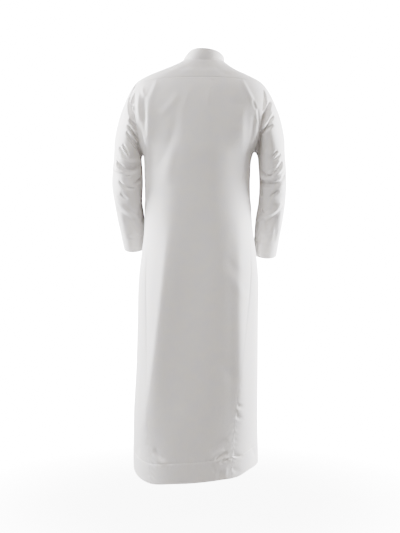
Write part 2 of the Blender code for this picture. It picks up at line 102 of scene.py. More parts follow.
# Armholes are ovals seen from the side. An angle of the side panel's corners is counted round them
# from their lowest point, in degrees
ARMHOLE_TOP = -84 * MM
ARMHOLE_BOTTOM = {1: -340 * MM, -1: -330 * MM}
ARMHOLE_BEHIND = 84 * MM
ARMHOLE_IN_FRONT = 70 * MM
SIDE_PANEL_CORNER = 36
YOKE_CORNER_BEHIND = 149
YOKE_ARCH = 20 * MM
YOKE_ARCH_POWER = 2.5
# Side panel seams by height in mm, as a share of the half width, and the skirt's twist in degrees
SIDE_SEAM_ROWS = ((-1490, 0.615), (-1235, 0.655), (-1000, 0.735), (-700, 0.87), (-300, 0.96))
SKIRT_TWIST_ROWS = ((-1490, 5.0), (-1100, 3.5), (-700, 0.0), (-300, 0.0))
HEM_LEVEL = -1446 * MM
HEM_ROWS = (
    # turn in degrees, height in mm
    (-180, -1431),
    (-160, -1430),
    (-125, -1420),
    (-95, -1408),
    (-75, -1403),
    (-52, -1411),
    (-38, -1427),
    (-22, -1433),
    (0, -1441),
    (20, -1446),
    (38, -1452),
    (50, -1447),
    (72, -1427),
    (92, -1409),
    (115, -1414),
    (160, -1430),
    (180, -1431),
)
TOP_BEND = 1.5

# Creases of the back, in mm as seen from behind: they run from a start to an end with a bow to one
# side, are as wide as stated on each side of their line, and stand out (+) or sink in (-)
BACK_CREASES = (
    # start_x, start_z, end_x, end_z, bow, width_one_side, width_other_side, rise
    (146, -88, 178, -170, -3, 13, 7, 2.6),
    (172, -146, 170, -334, 4, 17, 8, 5.0),
    (189, -150, 183, -286, 3, 6, 6, -5.0),
    (206, -132, 204, -236, 4, 5, 6, 3.4),
    (196, -112, 186, -152, 2, 4, 5, 2.0),
    (190, -228, 174, -344, 3, 10, 7, 5.0),
    (66, -136, 140, -222, -5, 13, 14, 2.6),
    (78, -196, 154, -410, -16, 17, 15, -2.6),
    (96, -300, 118, -460, 0, 22, 26, 4.0),
    (-142, -88, -197, -200, 2, 6, 7, 3.4),
    (-112, -92, -122, -262, 0, 34, 30, -2.4),
    (-178, -160, -192, -196, 1, 4, 4, -4.0),
    (-196, -188, -202, -250, 1, 4, 4, -3.0),
    (-190, -196, -198, -250, 1, 4, 4, 2.0),
    (-190, -226, -170, -334, -3, 10, 7, 5.0),
    (-142, -176, -144, -352, 4, 17, 44, 5.0),
    (-184, -214, -174, -306, -3, 6, 8, -3.0),
    (-146, -340, -150, -470, 0, 14, 20, 3.5),
    (-47, -100, -24, -190, 4, 7, 10, 2.0),
    (-42, -92, -38, -118, 0, 8, 8, -1.4),
    (-33, -92, -30, -122, 0, 8, 8, 0.9),
    (20, -110, 62, -240, 10, 12, 16, 1.6),
    (100, -560, 196, -1360, -8, 62, 20, 9.0),
    (30, -520, 66, -1240, 0, 60, 60, -4.0),
    (-128, -520, -134, -1300, 6, 24, 40, 6.5),
    (-112, -560, -106, -1290, 0, 26, 24, -3.6),
    (-96, -742, -170, -850, 6, 14, 18, 1.2),
    (-84, -690, -150, -770, 4, 14, 20, -1.0),
    (-70, -1020, -132, -1130, 6, 26, 22, -1.4),
    (-91, -1345, -50, -1366, 3, 4, 4, -5.0),
    (-80, -1333, -33, -1368, 4, 5, 5, 3.2),
    (-98, -1358, -55, -1372, 2, 3, 3, 3.0),
    (-94, -1366, -66, -1375, 1, 3, 3, -4.0),
    (-70, -1400, -58, -1440, 0, 8, 7, -1.6),
    (-88, -1392, -84, -1430, 0, 6, 6, 1.4),
    (-40, -1376, -52, -1410, 2, 5, 5, -1.0),
    (-30, -1340, -92, -1300, -4, 10, 12, -1.6),
    (150, -1330, 118, -1368, 6, 6, 9, -3.0),
    (158, -1352, 112, -1384, 4, 6, 6, 2.2),
    (60, -1180, 8, -1360, 6, 26, 30, 1.8),
    (-8, -480, 4, -900, 0, 34, 40, -2.0),
)


def read(rows, column, key):
    """A column of a table at any keys, on a smooth curve. Rows rise by their first column."""
    table = np.array(rows, float)
    keys, values = table[:, 0], table[:, column]
    slopes = np.empty(len(keys))
    slopes[1:-1] = (values[2:] - values[:-2]) / (keys[2:] - keys[:-2])
    slopes[0] = (values[1] - values[0]) / (keys[1] - keys[0])
    slopes[-1] = (values[-1] - values[-2]) / (keys[-1] - keys[-2])
    key = np.clip(key, keys[0], keys[-1])
    low = np.clip(np.searchsorted(keys, key) - 1, 0, len(keys) - 2)
    span = keys[low + 1] - keys[low]
    t = (key - keys[low]) / span
    start = (1 + 2 * t) * (1 - t) ** 2 * values[low] + t * (1 - t) ** 2 * span * slopes[low]
    end = t * t * (3 - 2 * t) * values[low + 1] - t * t * (1 - t) * span * slopes[low + 1]
    return start + end


def mix(a, b, t):
    return a + (b - a) * t


def ring(z):
    """Half width, middle, depth behind and depth in front of the level ring at a height."""
    return [read(BODY_ROWS, column, z / MM) * MM for column in (1, 2, 3, 4)]


def other_share(share):
    """On a squared oval, the share of one half axis that goes with a share of the other."""
    return np.maximum(0.0, 1 - np.abs(share) ** SQUARENESS) ** (1 / SQUARENESS)


def fold_height(turn, z):
    """How far the body's folds move the cloth out at a point."""
    total = np.zeros(np.broadcast(turn, z).shape)
    half_width, _, behind, _ = ring(z)
    radius = 0.5 * (half_width + behind)
    for turn_top, z_top, turn_bottom, z_bottom, width, rise in BODY_FOLDS:
        along = (z_top * MM - z) / ((z_top - z_bottom) * MM)
        from_middle = np.clip(along, -FOLD_OVERRUN, 1 + FOLD_OVERRUN) - 0.5
        fade = np.cos(math.pi * from_middle / (1 + 2 * FOLD_OVERRUN)) ** 2
        line = np.radians(mix(turn_top, turn_bottom, along))
        apart = (turn - line + math.pi) % (2 * math.pi) - math.pi
        total += rise * MM * fade * np.exp(-((apart * radius / (width * MM)) ** 2))
    return total


def body(turn, z):
    """Points of the body's bell-shaped surface, by turn round from the middle back, and height."""
    half_width, middle, behind, in_front = ring(z)
    side, back = np.sin(turn), np.cos(turn)
    reach = (np.abs(side) ** SQUARENESS + np.abs(back) ** SQUARENESS) ** (-1 / SQUARENESS)
    x = half_width * reach * side
    y = np.where(back > 0, behind, in_front) * reach * back
    out = 1 + fold_height(turn, z) / np.hypot(x, y)
    return np.stack(np.broadcast_arrays(middle + x * out, y * out, z), axis=-1)


def armhole_point(side, angle):
    """(turn, height) of an armhole edge. Angle 0 is at the bottom, 90 behind, and 180 on top."""
    bottom = ARMHOLE_BOTTOM[side]
    z = (ARMHOLE_TOP + bottom) / 2 - (ARMHOLE_TOP - bottom) / 2 * np.cos(np.radians(angle))
    sideways = np.sin(np.radians(angle))
    y = sideways * np.where(sideways > 0, ARMHOLE_BEHIND, ARMHOLE_IN_FRONT)
    _, _, behind, in_front = ring(z)
    share = y / np.where(y > 0, behind, in_front)
    return side * np.arctan2(other_share(share), share), z


def side_seam(side, face, z):
    """Turn of a side panel's seam at a height. Face is 1 behind and -1 in front."""
    share = read(SIDE_SEAM_ROWS, 1, z / MM)
    twist = np.radians(read(SKIRT_TWIST_ROWS, 1, z / MM))
    return side * np.arctan2(share, face * other_share(share)) + twist


def around(turn):
    """A turn from 0 to a whole one, for points in front."""
    return turn % (2 * math.pi)


def hem_height(turn):
    return read(HEM_ROWS, 1, (np.degrees(turn) + 180) % 360 - 180) * MM


# Extra lines of a net, in mm: beside a seam, and below and above the stitches that hold the hem
BESIDE_SEAM = (0.5, 1.8, 3.6)
BESIDE_STITCHES = (-4.5, -3.0, -1.5, 0, 1.5, 3.5)
CLOSEST_LINES = 1.2 * MM
HEM_TURN_UP = 67 * MM
SKIRT_LENGTH = 1120 * MM


def lines(length, cells, low=BESIDE_SEAM, high=BESIDE_SEAM):
    """Shares from 0 to 1 for a net's lines, with extra ones close to its edges, where seams dip."""
    first, last = (np.array(edge) * MM / length for edge in (low, high))
    return np.concatenate([[0], first, np.linspace(0, 1, cells + 1)[1:-1], 1 - last[::-1], [1]])


def skirt_shares(cells, high=()):
    """Lines up the skirt, with extra ones round the row of stitches that holds the hem."""
    stitched = (HEM_TURN_UP + np.array(BESIDE_STITCHES) * MM) / SKIRT_LENGTH
    shares = lines(SKIRT_LENGTH, cells, high=high)
    apart = np.abs(shares[:, None] - stitched).min(axis=1) > CLOSEST_LINES / SKIRT_LENGTH
    return np.sort(np.concatenate([shares[apart], stitched]))


def skirt_net(edge_low, edge_high, corner_low, corner_high, up, shares):
    """(turn, height) of a net from the hem up to the corners under the arms, between two seams."""
    up = up[:, None]
    hem_low, hem_high = hem_height(edge_low(HEM_LEVEL)), hem_height(edge_high(HEM_LEVEL))
    z_low, z_high = mix(hem_low, corner_low, up), mix(hem_high, corner_high, up)
    turn = mix(edge_low(z_low), edge_high(z_high), shares)
    plain_hem = mix(hem_low, hem_high, shares)
    hem_shape = hem_height(mix(edge_low(hem_low), edge_high(hem_high), shares)) - plain_hem
    return turn, mix(z_low, z_high, shares) + hem_shape * (1 - up)


def bend_to(turn, z, top_turn, top_z, up):
    """Moves a net's rows part of the way that its plain top row has to go to its top line."""
    return turn + (top_turn - turn[-1]) * up**TOP_BEND, z + (top_z - z[-1]) * up


def chest_net(angles, face, shares, top_turn, top_z):
    """(turn, height) of a net between both armholes, from the corners under the arms to a line."""
    (low_turn, low_z), (high_turn, high_z) = (armhole_point(s, angles) for s in (-face, face))
    if face < 0:
        low_turn, high_turn = around(low_turn), around(high_turn)
    turn = mix(low_turn[:, None], high_turn[:, None], shares)
    z = mix(low_z[:, None], high_z[:, None], shares)
    up = ((z[:, 0] - z[0, 0]) / (z[-1, 0] - z[0, 0]))[:, None]
    return bend_to(turn, z, top_turn, top_z, up)


def join_at_corners(skirt, chest, up):
    """Points of a whole panel: the skirt's rows bend to the chest's lowest row, under the arms."""
    skirt = bend_to(*skirt, chest[0][0], chest[1][0], up[:, None])
    return body(*(np.vstack([low, high[1:]]) for low, high in zip(skirt, chest)))


def back_seam_line(shares):
    """The yoke seam across the back, from the wearer's right armhole to the left."""
    ends = [armhole_point(side, YOKE_CORNER_BEHIND) for side in (-1, 1)]
    (low_turn, low_z), (high_turn, high_z) = ends
    arch = YOKE_ARCH * (1 - np.abs(2 * shares - 1) ** YOKE_ARCH_POWER)
    return mix(low_turn, high_turn, shares), mix(low_z, high_z, shares) + arch


TINY = 1e-12


def unit(vectors):
    return vectors / np.linalg.norm(vectors, axis=-1, keepdims=True)


def net_normals(points, closed):
    """Unit normals of a net, pointing away from the body's or the sleeve's middle."""
    if closed:
        wrapped = np.concatenate([points[:, -1:], points, points[:, :1]], axis=1)
        across = wrapped[:, 2:] - wrapped[:, :-2]
        centre = points.mean(axis=1, keepdims=True)
    else:
        across = np.gradient(points, axis=1)
        centre = points * [0, 0, 1]
    normals = np.cross(np.gradient(points, axis=0), across)
    normals /= np.linalg.norm(normals, axis=2, keepdims=True) + TINY
    return normals * np.sign((normals * (points - centre)).sum())


def edge_distances(points):
    """How far each point of a net lies from its low row, high row, low column and high column."""
    steps_up = np.linalg.norm(np.diff(points, axis=0), axis=2)
    steps_across = np.linalg.norm(np.diff(points, axis=1), axis=2)
    up = np.vstack([np.zeros(points.shape[1]), np.cumsum(steps_up, axis=0)])
    across = np.hstack([np.zeros((points.shape[0], 1)), np.cumsum(steps_across, axis=1)])
    return up, up[-1] - up, across, across[:, -1:] - across


# Creases narrower than the first width are pinched where they sink in, with steep sides, and those
# broader than the second one rise slowly at their ends. Widths are in mm
PINCHED_WIDTH = 8
PINCHED_POWER = 2.6
ROUND_POWER = 2
BROAD_WIDTH = 12
BROAD_END = 0.25
BROAD_END_POWER = 1.3
HUMP_POWER = 0.7


def crease_height(across, up, rows):
    """How far creases lift the cloth (+) or sink it (-) at places on it. All in mm."""
    total = np.zeros(across.shape)
    for start_x, start_z, end_x, end_z, bow, one_side, other_side, rise in rows:
        run_x, run_z = end_x - start_x, end_z - start_z
        run = math.hypot(run_x, run_z)
        along = ((across - start_x) * run_x + (up - start_z) * run_z) / run**2
        t = np.clip(along, 0, 1)
        hump = 4 * t * (1 - t)
        beside = ((up - start_z) * run_x - (across - start_x) * run_z) / run - bow * hump
        width = np.where(beside < 0, one_side, other_side)
        power = PINCHED_POWER if rise < 0 and one_side < PINCHED_WIDTH else ROUND_POWER
        slope = np.exp(-(np.abs(beside / width) ** power))
        if max(one_side, other_side) > BROAD_WIDTH:
            slope = slope * (1 - np.exp(-((hump / BROAD_END) ** BROAD_END_POWER)))
        total += rise * hump**HUMP_POWER * slope
    return total


# Uneven puckers that stitches draw up, as the share and the spacing of each wave
PUCKER_WAVES = ((0.5, 3.1 * MM), (0.3, 7.7 * MM), (0.25, 1.9 * MM))
HEM_RAISE = 0.5 * MM
HEM_STEP = 0.8 * MM
STITCH_DIP = 0.8 * MM
STITCH_DIP_WIDTH = 2.2 * MM
PUCKER_RISE = 0.45 * MM
PUCKER_REACH = 13 * MM


def puckers(along):
    return sum(share * np.sin(along / spacing) for share, spacing in PUCKER_WAVES)


def stitched_hem(distance, along):
    """Relief of the turned-up hem: a raised band, a groove at its stitches, and small puckers."""
    above = distance - HEM_TURN_UP
    raised = HEM_RAISE / (1 + np.exp(np.clip(above / HEM_STEP, -30, 30)))
    groove = STITCH_DIP * np.exp(-((above / STITCH_DIP_WIDTH) ** 2))
    pucker = PUCKER_RISE * puckers(along) * np.exp(-((above / PUCKER_REACH) ** 2))
    return raised - groove + pucker


# Slanting puckers beside a felled seam grow towards the hem, and leave the seam itself alone
SEAM_PUCKER_ROWS = (
    # height, rise, in mm
    (-1440, 1.3),
    (-1300, 1.0),
    (-1180, 0.5),
    (-1000, 0.12),
    (-300, 0.05),
)
SEAM_PUCKER_REACH = 18 * MM
SEAM_PUCKER_SLANT = 0.8
SEAM_HELD = 3 * MM


def seam_puckers(distance, along, up):
    rise = read(SEAM_PUCKER_ROWS, 1, up) * MM
    held = np.exp(-((distance / SEAM_HELD) ** 2))
    reach = np.exp(-((distance / SEAM_PUCKER_REACH) ** 2)) * (1 - held)
    return rise * puckers(along + SEAM_PUCKER_SLANT * distance) * reach


SEWN = ("seam", "felled")
CREASE_FADE = 6 * MM
UNDER_ARM = -330 * MM
UNDER_ARM_FADE = 90 * MM
ROUND_THE_SIDE = 60 * MM


def smooth(share):
    """A smooth step from 0 to 1 as a share goes from 0 to 1."""
    share = np.clip(share, 0, 1)
    return share * share * (3 - 2 * share)


def pick(creases, broad):
    """The broad creases of a table, or its narrow ones."""
    return [row for row in creases if (max(row[5], row[6]) > BROAD_WIDTH) == broad]


def run_over(points, creases, face):
    """Height of the back's (face 1) or front's (-1) broad creases, which cross the felled seams."""
    height = crease_height(points[..., 0] / MM, points[..., 2] / MM, pick(creases, True)) * MM
    low_down = smooth((UNDER_ARM - points[..., 2]) / UNDER_ARM_FADE)
    for distance, edge in zip(edge_distances(points), PANEL_EDGES):
        if edge in SEWN:
            kept = low_down if edge == "felled" else 0
            height = height * mix(smooth(distance / CREASE_FADE), 1, kept)
    return height * smooth(face * points[..., 1] / ROUND_THE_SIDE)


SEAM_DIP = 0.1 * MM
SEAM_DIP_WIDTH = 1.6 * MM


def dress(points, creases, view, edges, closed=False, over=0):
    """Lays a piece's creases on its net, fading towards its seams, and dips the cloth along them.

    View names the two axes that the creases are placed by. Edges says what the net's low row, high
    row, low column and high column are: "seam", "felled", "hem" or None. A felled seam is pressed
    flat, and over is the height of what crosses it."""
    if callable(view):
        across, up = view(points)
    else:
        across, up = points[..., view[0]] / MM, points[..., view[1]] / MM
    height = crease_height(across, up, creases) * MM
    distances = edge_distances(points)
    for distance, edge in zip(distances, edges):
        if edge in SEWN:
            height = height * smooth(distance / CREASE_FADE)
    height = height + over
    for distance, edge in zip(distances[2:], edges[2:]):
        if edge == "felled":
            height = height + seam_puckers(distance, distances[0], up)
    for distance, edge in zip(distances, edges):
        if edge == "seam":
            height = height - SEAM_DIP * np.exp(-((distance / SEAM_DIP_WIDTH) ** 2))
        if edge == "hem":
            height = height + stitched_hem(distance, distances[2])
    return points + net_normals(points, closed) * height[..., None]


# The fold of a turned-in edge is set in and lifted a little, so that its wall ends at the seam line
TURN_IN = 3 * MM
TURNED_SET_IN = 0.8 * SUITING_WALL
RIM_SET_IN = 0.375 * SUITING_WALL
RIM_LIFT = 0.1 * SUITING_WALL


def turn_edges_in(points, edges, closed=False):
    """Folds a net's edges to the inside, as a seam allowance or a turned hem is."""
    normals = net_normals(points, closed)
    for number, edge in enumerate(edges):
        if edge is None:
            continue
        axis, at_end = divmod(number, 2)
        last, inner = (-1, -2) if at_end else (0, 1)
        rim, near = (np.take(points, i, axis=axis) for i in (last, inner))
        out = np.take(normals, last, axis=axis)
        way = near - rim
        way /= np.linalg.norm(way, axis=-1, keepdims=True) + TINY
        turned = rim - out * TURN_IN + way * TURNED_SET_IN
        rim = rim + way * RIM_SET_IN + out * RIM_LIFT

        def swap(net, *added):
            rest = np.delete(net, last, axis=axis)
            added = [np.expand_dims(a, axis) for a in added]
            return np.concatenate([rest, *added] if at_end else [*added[::-1], rest], axis=axis)

        points, normals = swap(points, rim, turned), swap(normals, out, out)
    return points


def make_piece(name, work, look):
    """A piece in the scene from a finished mesh, in one material."""
    mesh = bpy.data.meshes.new(name)
    work.to_mesh(mesh)
    work.free()
    mesh.materials.append(look)
    made = bpy.data.objects.new(name, mesh)
    bpy.context.scene.collection.objects.link(made)
    return made


SAME_POINT = 1e-6
PRESSED_EDGE = math.radians(80)


def cloth(name, points, look, wall=SUITING_WALL, closed=False, skip_column=None):
    """A shell of cloth from a net of points, with its grain laid out in metres for the weave."""
    outward = net_normals(points, closed)
    up, _, across, _ = edge_distances(points)
    across = across - across.mean(axis=1, keepdims=True)
    rows, columns = points.shape[:2]
    work = bmesh.new()
    verts = [work.verts.new(point) for point in points.reshape(-1, 3)]
    grain = work.loops.layers.uv.new("grain")
    first_face = np.cross(points[1, 1] - points[1, 0], points[2, 0] - points[1, 0])
    faces_out = first_face @ outward[1, 0] > 0
    for row in range(rows - 1):
        for column in range(columns if closed else columns - 1):
            if column == skip_column:
                continue
            after = (column + 1) % columns
            corners = [(row, column), (row, after), (row + 1, after), (row + 1, column)]
            if not faces_out:
                corners.reverse()
            face = work.faces.new([verts[r * columns + c] for r, c in corners])
            face.smooth = True
            for loop, (r, c) in zip(face.loops, corners):
                all_round = across[r, -1] - across[r, 0] if closed and after == c == 0 else 0
                loop[grain].uv = (across[r, c] + all_round, up[r, c])
    bmesh.ops.remove_doubles(work, verts=work.verts, dist=SAME_POINT)
    for edge in work.edges:
        edge.smooth = edge.calc_face_angle(0) < PRESSED_EDGE
    piece = make_piece(name, work, look)
    thickness = piece.modifiers.new("Wall", "SOLIDIFY")
    thickness.thickness = wall
    thickness.offset = 0
    thickness.use_even_offset = False
    return piece


def linear(colour):
    """An sRGB hex colour as the linear values that Blender's sockets take."""
    parts = [int(colour[i : i + 2], 16) / 255 for i in (1, 3, 5)]
    return [c / 12.92 if c <= 0.04045 else ((c + 0.055) / 1.055) ** 2.4 for c in parts] + [1]


def start_material(name, constants):
    """A new material with its node tree, and its shader with the values that hold all over."""
    look = bpy.data.materials.new(name)
    look.use_nodes = True
    shader = look.node_tree.nodes["Principled BSDF"]
    for socket, value in constants.items():
        shader.inputs[socket].default_value = value
    return look, look.node_tree, shader


def add_node(tree, kind, settings=None, values=None, links=None):
    """Adds a node to a tree, with its settings, its sockets' own values, and links into them."""
    node = tree.nodes.new(kind)
    for key, value in (settings or {}).items():
        setattr(node, key, value)
    for key, value in (values or {}).items():
        node.inputs[key].default_value = value
    for key, source in (links or {}).items():
        tree.links.new(source, node.inputs[key])
    return node


# Plain-woven polyester and cotton suiting, bleached and pressed: an even white with a dry, faintly
# silky face. Its threads are 0.35 mm apart, drawn here at 1.2 mm so that they show up close, and
# the cloth is a little uneven over a few centimetres, as pressed cloth is
SUITING_WHITES = ("#D8D6D6", "#DDDAD4")
THREAD_SPACING = 1.2 * MM
SUITING_SURFACE = {
    "Roughness": 0.72,
    "IOR": 1.5,
    "Specular IOR Level": 0.35,
    "Sheen Weight": 0.25,
    "Sheen Roughness": 0.45,
}
# Strength and depth of what pressing leaves uneven, and of the weave
SUITING_RELIEFS = ((0.25, 1.2 * MM), (0.35, 0.15 * MM))


def woven_suiting():
    look, tree, shader = start_material("pressed_white_suiting", SUITING_SURFACE)
    grain = {"Vector": add_node(tree, "ShaderNodeTexCoord").outputs["UV"]}
    scale = math.pi / (20 * THREAD_SPACING)
    threads = {"Scale": scale, "Distortion": 0.6, "Detail": 1.0, "Detail Scale": 2.0}
    warp, weft = (
        add_node(tree, "ShaderNodeTexWave", {"bands_direction": way}, threads, grain).outputs["Fac"]
        for way in ("X", "Y")
    )
    weave = add_node(tree, "ShaderNodeMath", {"operation": "MULTIPLY"}, links={0: warp, 1: weft})
    uneven = {"Scale": 22.0, "Detail": 3.0, "Roughness": 0.5}
    pressed = add_node(tree, "ShaderNodeTexNoise", None, uneven, grain).outputs["Fac"]
    relief = {"Height": pressed}
    for strength, depth in SUITING_RELIEFS:
        values = {"Strength": strength, "Distance": depth}
        bump = add_node(tree, "ShaderNodeBump", None, values, relief).outputs["Normal"]
        relief = {"Height": weave.outputs[0], "Normal": bump}
    tone = add_node(tree, "ShaderNodeValToRGB", links={"Fac": pressed})
    for stop, at, white in zip(tone.color_ramp.elements, (0.3, 0.7), SUITING_WHITES):
        stop.position, stop.color = at, linear(white)
    tree.links.new(tone.outputs["Color"], shader.inputs["Base Color"])
    tree.links.new(bump, shader.inputs["Normal"])
    return look


suiting = woven_suiting()


def wear(piece, node):
    """Puts a cloth piece on the robe in its CAD node's place: it hangs from the root body, and the
    CAD node is hidden.
    """
    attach(piece, "root")
    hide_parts(node)


# Core-spun polyester thread, dyed white and a touch brighter than the cloth: two plies wound round
# each other, which show as fine slanting stripes. The plies are drawn at 0.8 mm instead of 0.3 mm
THREAD_THICKNESS = 0.42 * MM
THREAD_WHITES = ("#D9D8D4", "#F0EFEA")
THREAD_SURFACE = {"Roughness": 0.5, "IOR": 1.55, "Sheen Weight": 0.2}
PLY_SPACING = 0.8 * MM
PLY_DEPTH = 0.05 * MM
STITCH_LENGTH = 2.6 * MM
STITCH_PITCH = 3.2 * MM
THREAD_SIDES = 6
THREAD_SHAPE = (
    # share of the length, girth, height above the cloth in thread thicknesses
    (0.0, 0.35, -0.8),
    (0.14, 0.9, 0.0),
    (0.5, 1.0, 0.12),
    (0.86, 0.9, 0.0),
    (1.0, 0.35, -0.8),
)


def spun_thread():
    look, tree, shader = start_material("core_spun_white_thread", THREAD_SURFACE)
    spot = {"Vector": add_node(tree, "ShaderNodeTexCoord").outputs["Object"]}
    scale = {"Scale": math.pi / (10 * PLY_SPACING)}
    slanting = {"bands_direction": "DIAGONAL"}
    plies = add_node(tree, "ShaderNodeTexWave", slanting, scale, spot).outputs["Fac"]
    tone = add_node(tree, "ShaderNodeValToRGB", links={"Fac": plies})
    for stop, white in zip(tone.color_ramp.elements, THREAD_WHITES):
        stop.color = linear(white)
    relief = {"Strength": 0.4, "Distance": PLY_DEPTH}
    twist = add_node(tree, "ShaderNodeBump", None, relief, {"Height": plies})
    tree.links.new(tone.outputs["Color"], shader.inputs["Base Color"])
    tree.links.new(twist.outputs["Normal"], shader.inputs["Normal"])
    return look


thread = spun_thread()


def lay_thread(name, starts, ends, ups, lift):
    """One mesh of short rounded lengths of thread, whose ends dip into what they go through."""
    along = ends - starts
    beside = unit(np.cross(along, ups)) * THREAD_THICKNESS / 2
    over = ups * THREAD_THICKNESS / 2
    turns = np.radians(np.arange(THREAD_SIDES) * 360 / THREAD_SIDES)
    sides = [beside * math.cos(turn) + over * math.sin(turn) for turn in turns]
    rings = []
    for share, girth, height in THREAD_SHAPE:
        middle = starts + along * share + ups * (lift + height * THREAD_THICKNESS)
        rings.append([middle + side * girth for side in sides])
    work = bmesh.new()
    for stitch in range(len(starts)):
        made = [[work.verts.new(corner[stitch]) for corner in corners] for corners in rings]
        for low, high in zip(made[:-1], made[1:]):
            for i in range(THREAD_SIDES):
                work.faces.new((low[i], low[i - 1], high[i - 1], high[i])).smooth = True
        work.faces.new(made[0])
        work.faces.new(reversed(made[-1]))
    bmesh.ops.recalc_face_normals(work, faces=work.faces)
    stitches = make_piece(name, work, thread)
    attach(stitches, "root")


def points_at(places, keys, line):
    """Points of a line at places between its keys."""
    return np.stack([np.interp(places, keys, line[:, i]) for i in range(3)], axis=-1)


def seam_path(surface, edge, depth, closed=False):
    """A line on the cloth at a depth from its low, high, left or right edge, and its way out."""
    points, normals = surface, net_normals(surface, closed)
    distance = edge_distances(surface)[("low", "high", "left", "right").index(edge)]
    if edge in ("left", "right"):
        points, normals, distance = (np.swapaxes(a, 0, 1) for a in (points, normals, distance))
    if edge in ("high", "right"):
        points, normals, distance = points[::-1], normals[::-1], distance[::-1]
    columns = range(points.shape[1])
    path, out = (
        np.array([points_at(depth, distance[:, c], net[:, c]) for c in columns])
        for net in (points, normals)
    )
    return path, unit(out)


THREAD_CLEAR = 0.1 * MM


def sew(name, paths, wall=SUITING_WALL, closed=False):
    """Rows of lockstitches along paths on the cloth, on the outer side of its wall."""
    starts, ends, ups = [], [], []
    for path, out in paths:
        if closed:
            path, out = (np.concatenate([a, a[:1]]) for a in (path, out))
        length = np.append(0, np.cumsum(np.linalg.norm(np.diff(path, axis=0), axis=1)))
        count = int(length[-1] / STITCH_PITCH)
        middles = (np.arange(count) + 0.5) * length[-1] / count
        starts.append(points_at(middles - STITCH_LENGTH / 2, length, path))
        ends.append(points_at(middles + STITCH_LENGTH / 2, length, path))
        ups.append(unit(points_at(middles, length, out)))
    stitches = (np.concatenate(rows) for rows in (starts, ends, ups))
    lay_thread(name, *stitches, wall / 2 + THREAD_CLEAR)


PANEL_EDGES = ("hem", "seam", "felled", "felled")
PANEL_WIDTH = 0.43
ARMHOLE_HEIGHT = 0.25
BACK_COLUMNS = 112
BACK_SKIRT_ROWS = 210
BACK_CHEST_ROWS = 84


def back_points():
    shares = lines(PANEL_WIDTH, BACK_COLUMNS)
    corners = [armhole_point(side, SIDE_PANEL_CORNER)[1] for side in (-1, 1)]
    up = skirt_shares(BACK_SKIRT_ROWS)
    seams = (lambda z: side_seam(-1, 1, z), lambda z: side_seam(1, 1, z))
    skirt = skirt_net(*seams, *corners, up, shares)
    rows = lines(ARMHOLE_HEIGHT, BACK_CHEST_ROWS, low=())
    angles = mix(SIDE_PANEL_CORNER, YOKE_CORNER_BEHIND, rows)
    chest = chest_net(angles, 1, shares, *back_seam_line(shares))
    return join_at_corners(skirt, chest, up)


back_net = back_points()
over = run_over(back_net, BACK_CREASES, 1)
back_surface = dress(back_net, pick(BACK_CREASES, False), (0, 2), PANEL_EDGES, over=over)
back_panel = cloth("back_panel_cloth", turn_edges_in(back_surface, PANEL_EDGES), suiting)
wear(back_panel, "back_panel")
sew("back_hem_stitches", [seam_path(back_surface, "low", HEM_TURN_UP)])

# ---- Side panels ----
# Each side panel is a long gore of the same suiting, a strip under the arm and wide at the hem. It
# is felled to the back and front panels, and the seam draws small puckers near the hem.

CREASES_UNDER_ARM = (
    # start_y, start_z, end_y, end_z, bow, width_one_side, width_other_side, rise
    (10, -400, -16, -760, 6, 20, 26, -4.0),
    (46, -620, 88, -1330, 8, 34, 30, 5.0),
    (-52, -600, -88, -1300, -8, 30, 36, 5.0),
    (4, -820, 12, -1400, 4, 40, 40, -4.0),
    (60, -470, 20, -540, 4, 8, 11, 2.0),
    (-60, -500, -14, -590, 4, 8, 11, -2.0),
    (96, -1330, 70, -1376, 4, 6, 8, -2.4),
    (-90, -1290, -60, -1352, 4, 7, 9, -2.0),
)

# Drags at the right panel's back seam, where its stitches are drawn up, in the same order
RIGHT_SEAM_DRAGS = (
    (154, -1350, 134, -1364, 1, 4, 4, -4.0),
    (152, -1366, 138, -1372, 0, 3, 3, -3.0),
    (154, -1358, 130, -1376, 1, 3, 3, 2.4),
    (149, -1276, 148, -1352, 0, 5, 5, -0.6),
    (149, -1184, 132, -1197, 1, 4, 5, -3.2),
    (149, -1196, 134, -1212, 1, 4, 4, 2.2),
    (149, -1212, 134, -1238, 1, 4, 5, -3.2),
    (150, -1110, 136, -1128, 1, 5, 6, -2.0),
    (150, -1390, 140, -1420, 0, 5, 5, -1.6),
)

SIDE_PANEL_WIDTH = 0.2
SIDE_PANEL_COLUMNS = 40
SIDE_PANEL_ROWS = 200


def side_points(side):
    shares = lines(SIDE_PANEL_WIDTH, SIDE_PANEL_COLUMNS)
    up = skirt_shares(SIDE_PANEL_ROWS, BESIDE_SEAM)
    corner = armhole_point(side, SIDE_PANEL_CORNER)[1]

    def edge(face):
        return lambda z: side * around(side * side_seam(side, face, z))

    turn, z = skirt_net(edge(1), edge(-1), corner, corner, up, shares)
    top_angles = mix(SIDE_PANEL_CORNER, -SIDE_PANEL_CORNER, shares)
    turn, z = bend_to(turn, z, *armhole_point(side, top_angles), up[:, None])
    return body(turn, z)


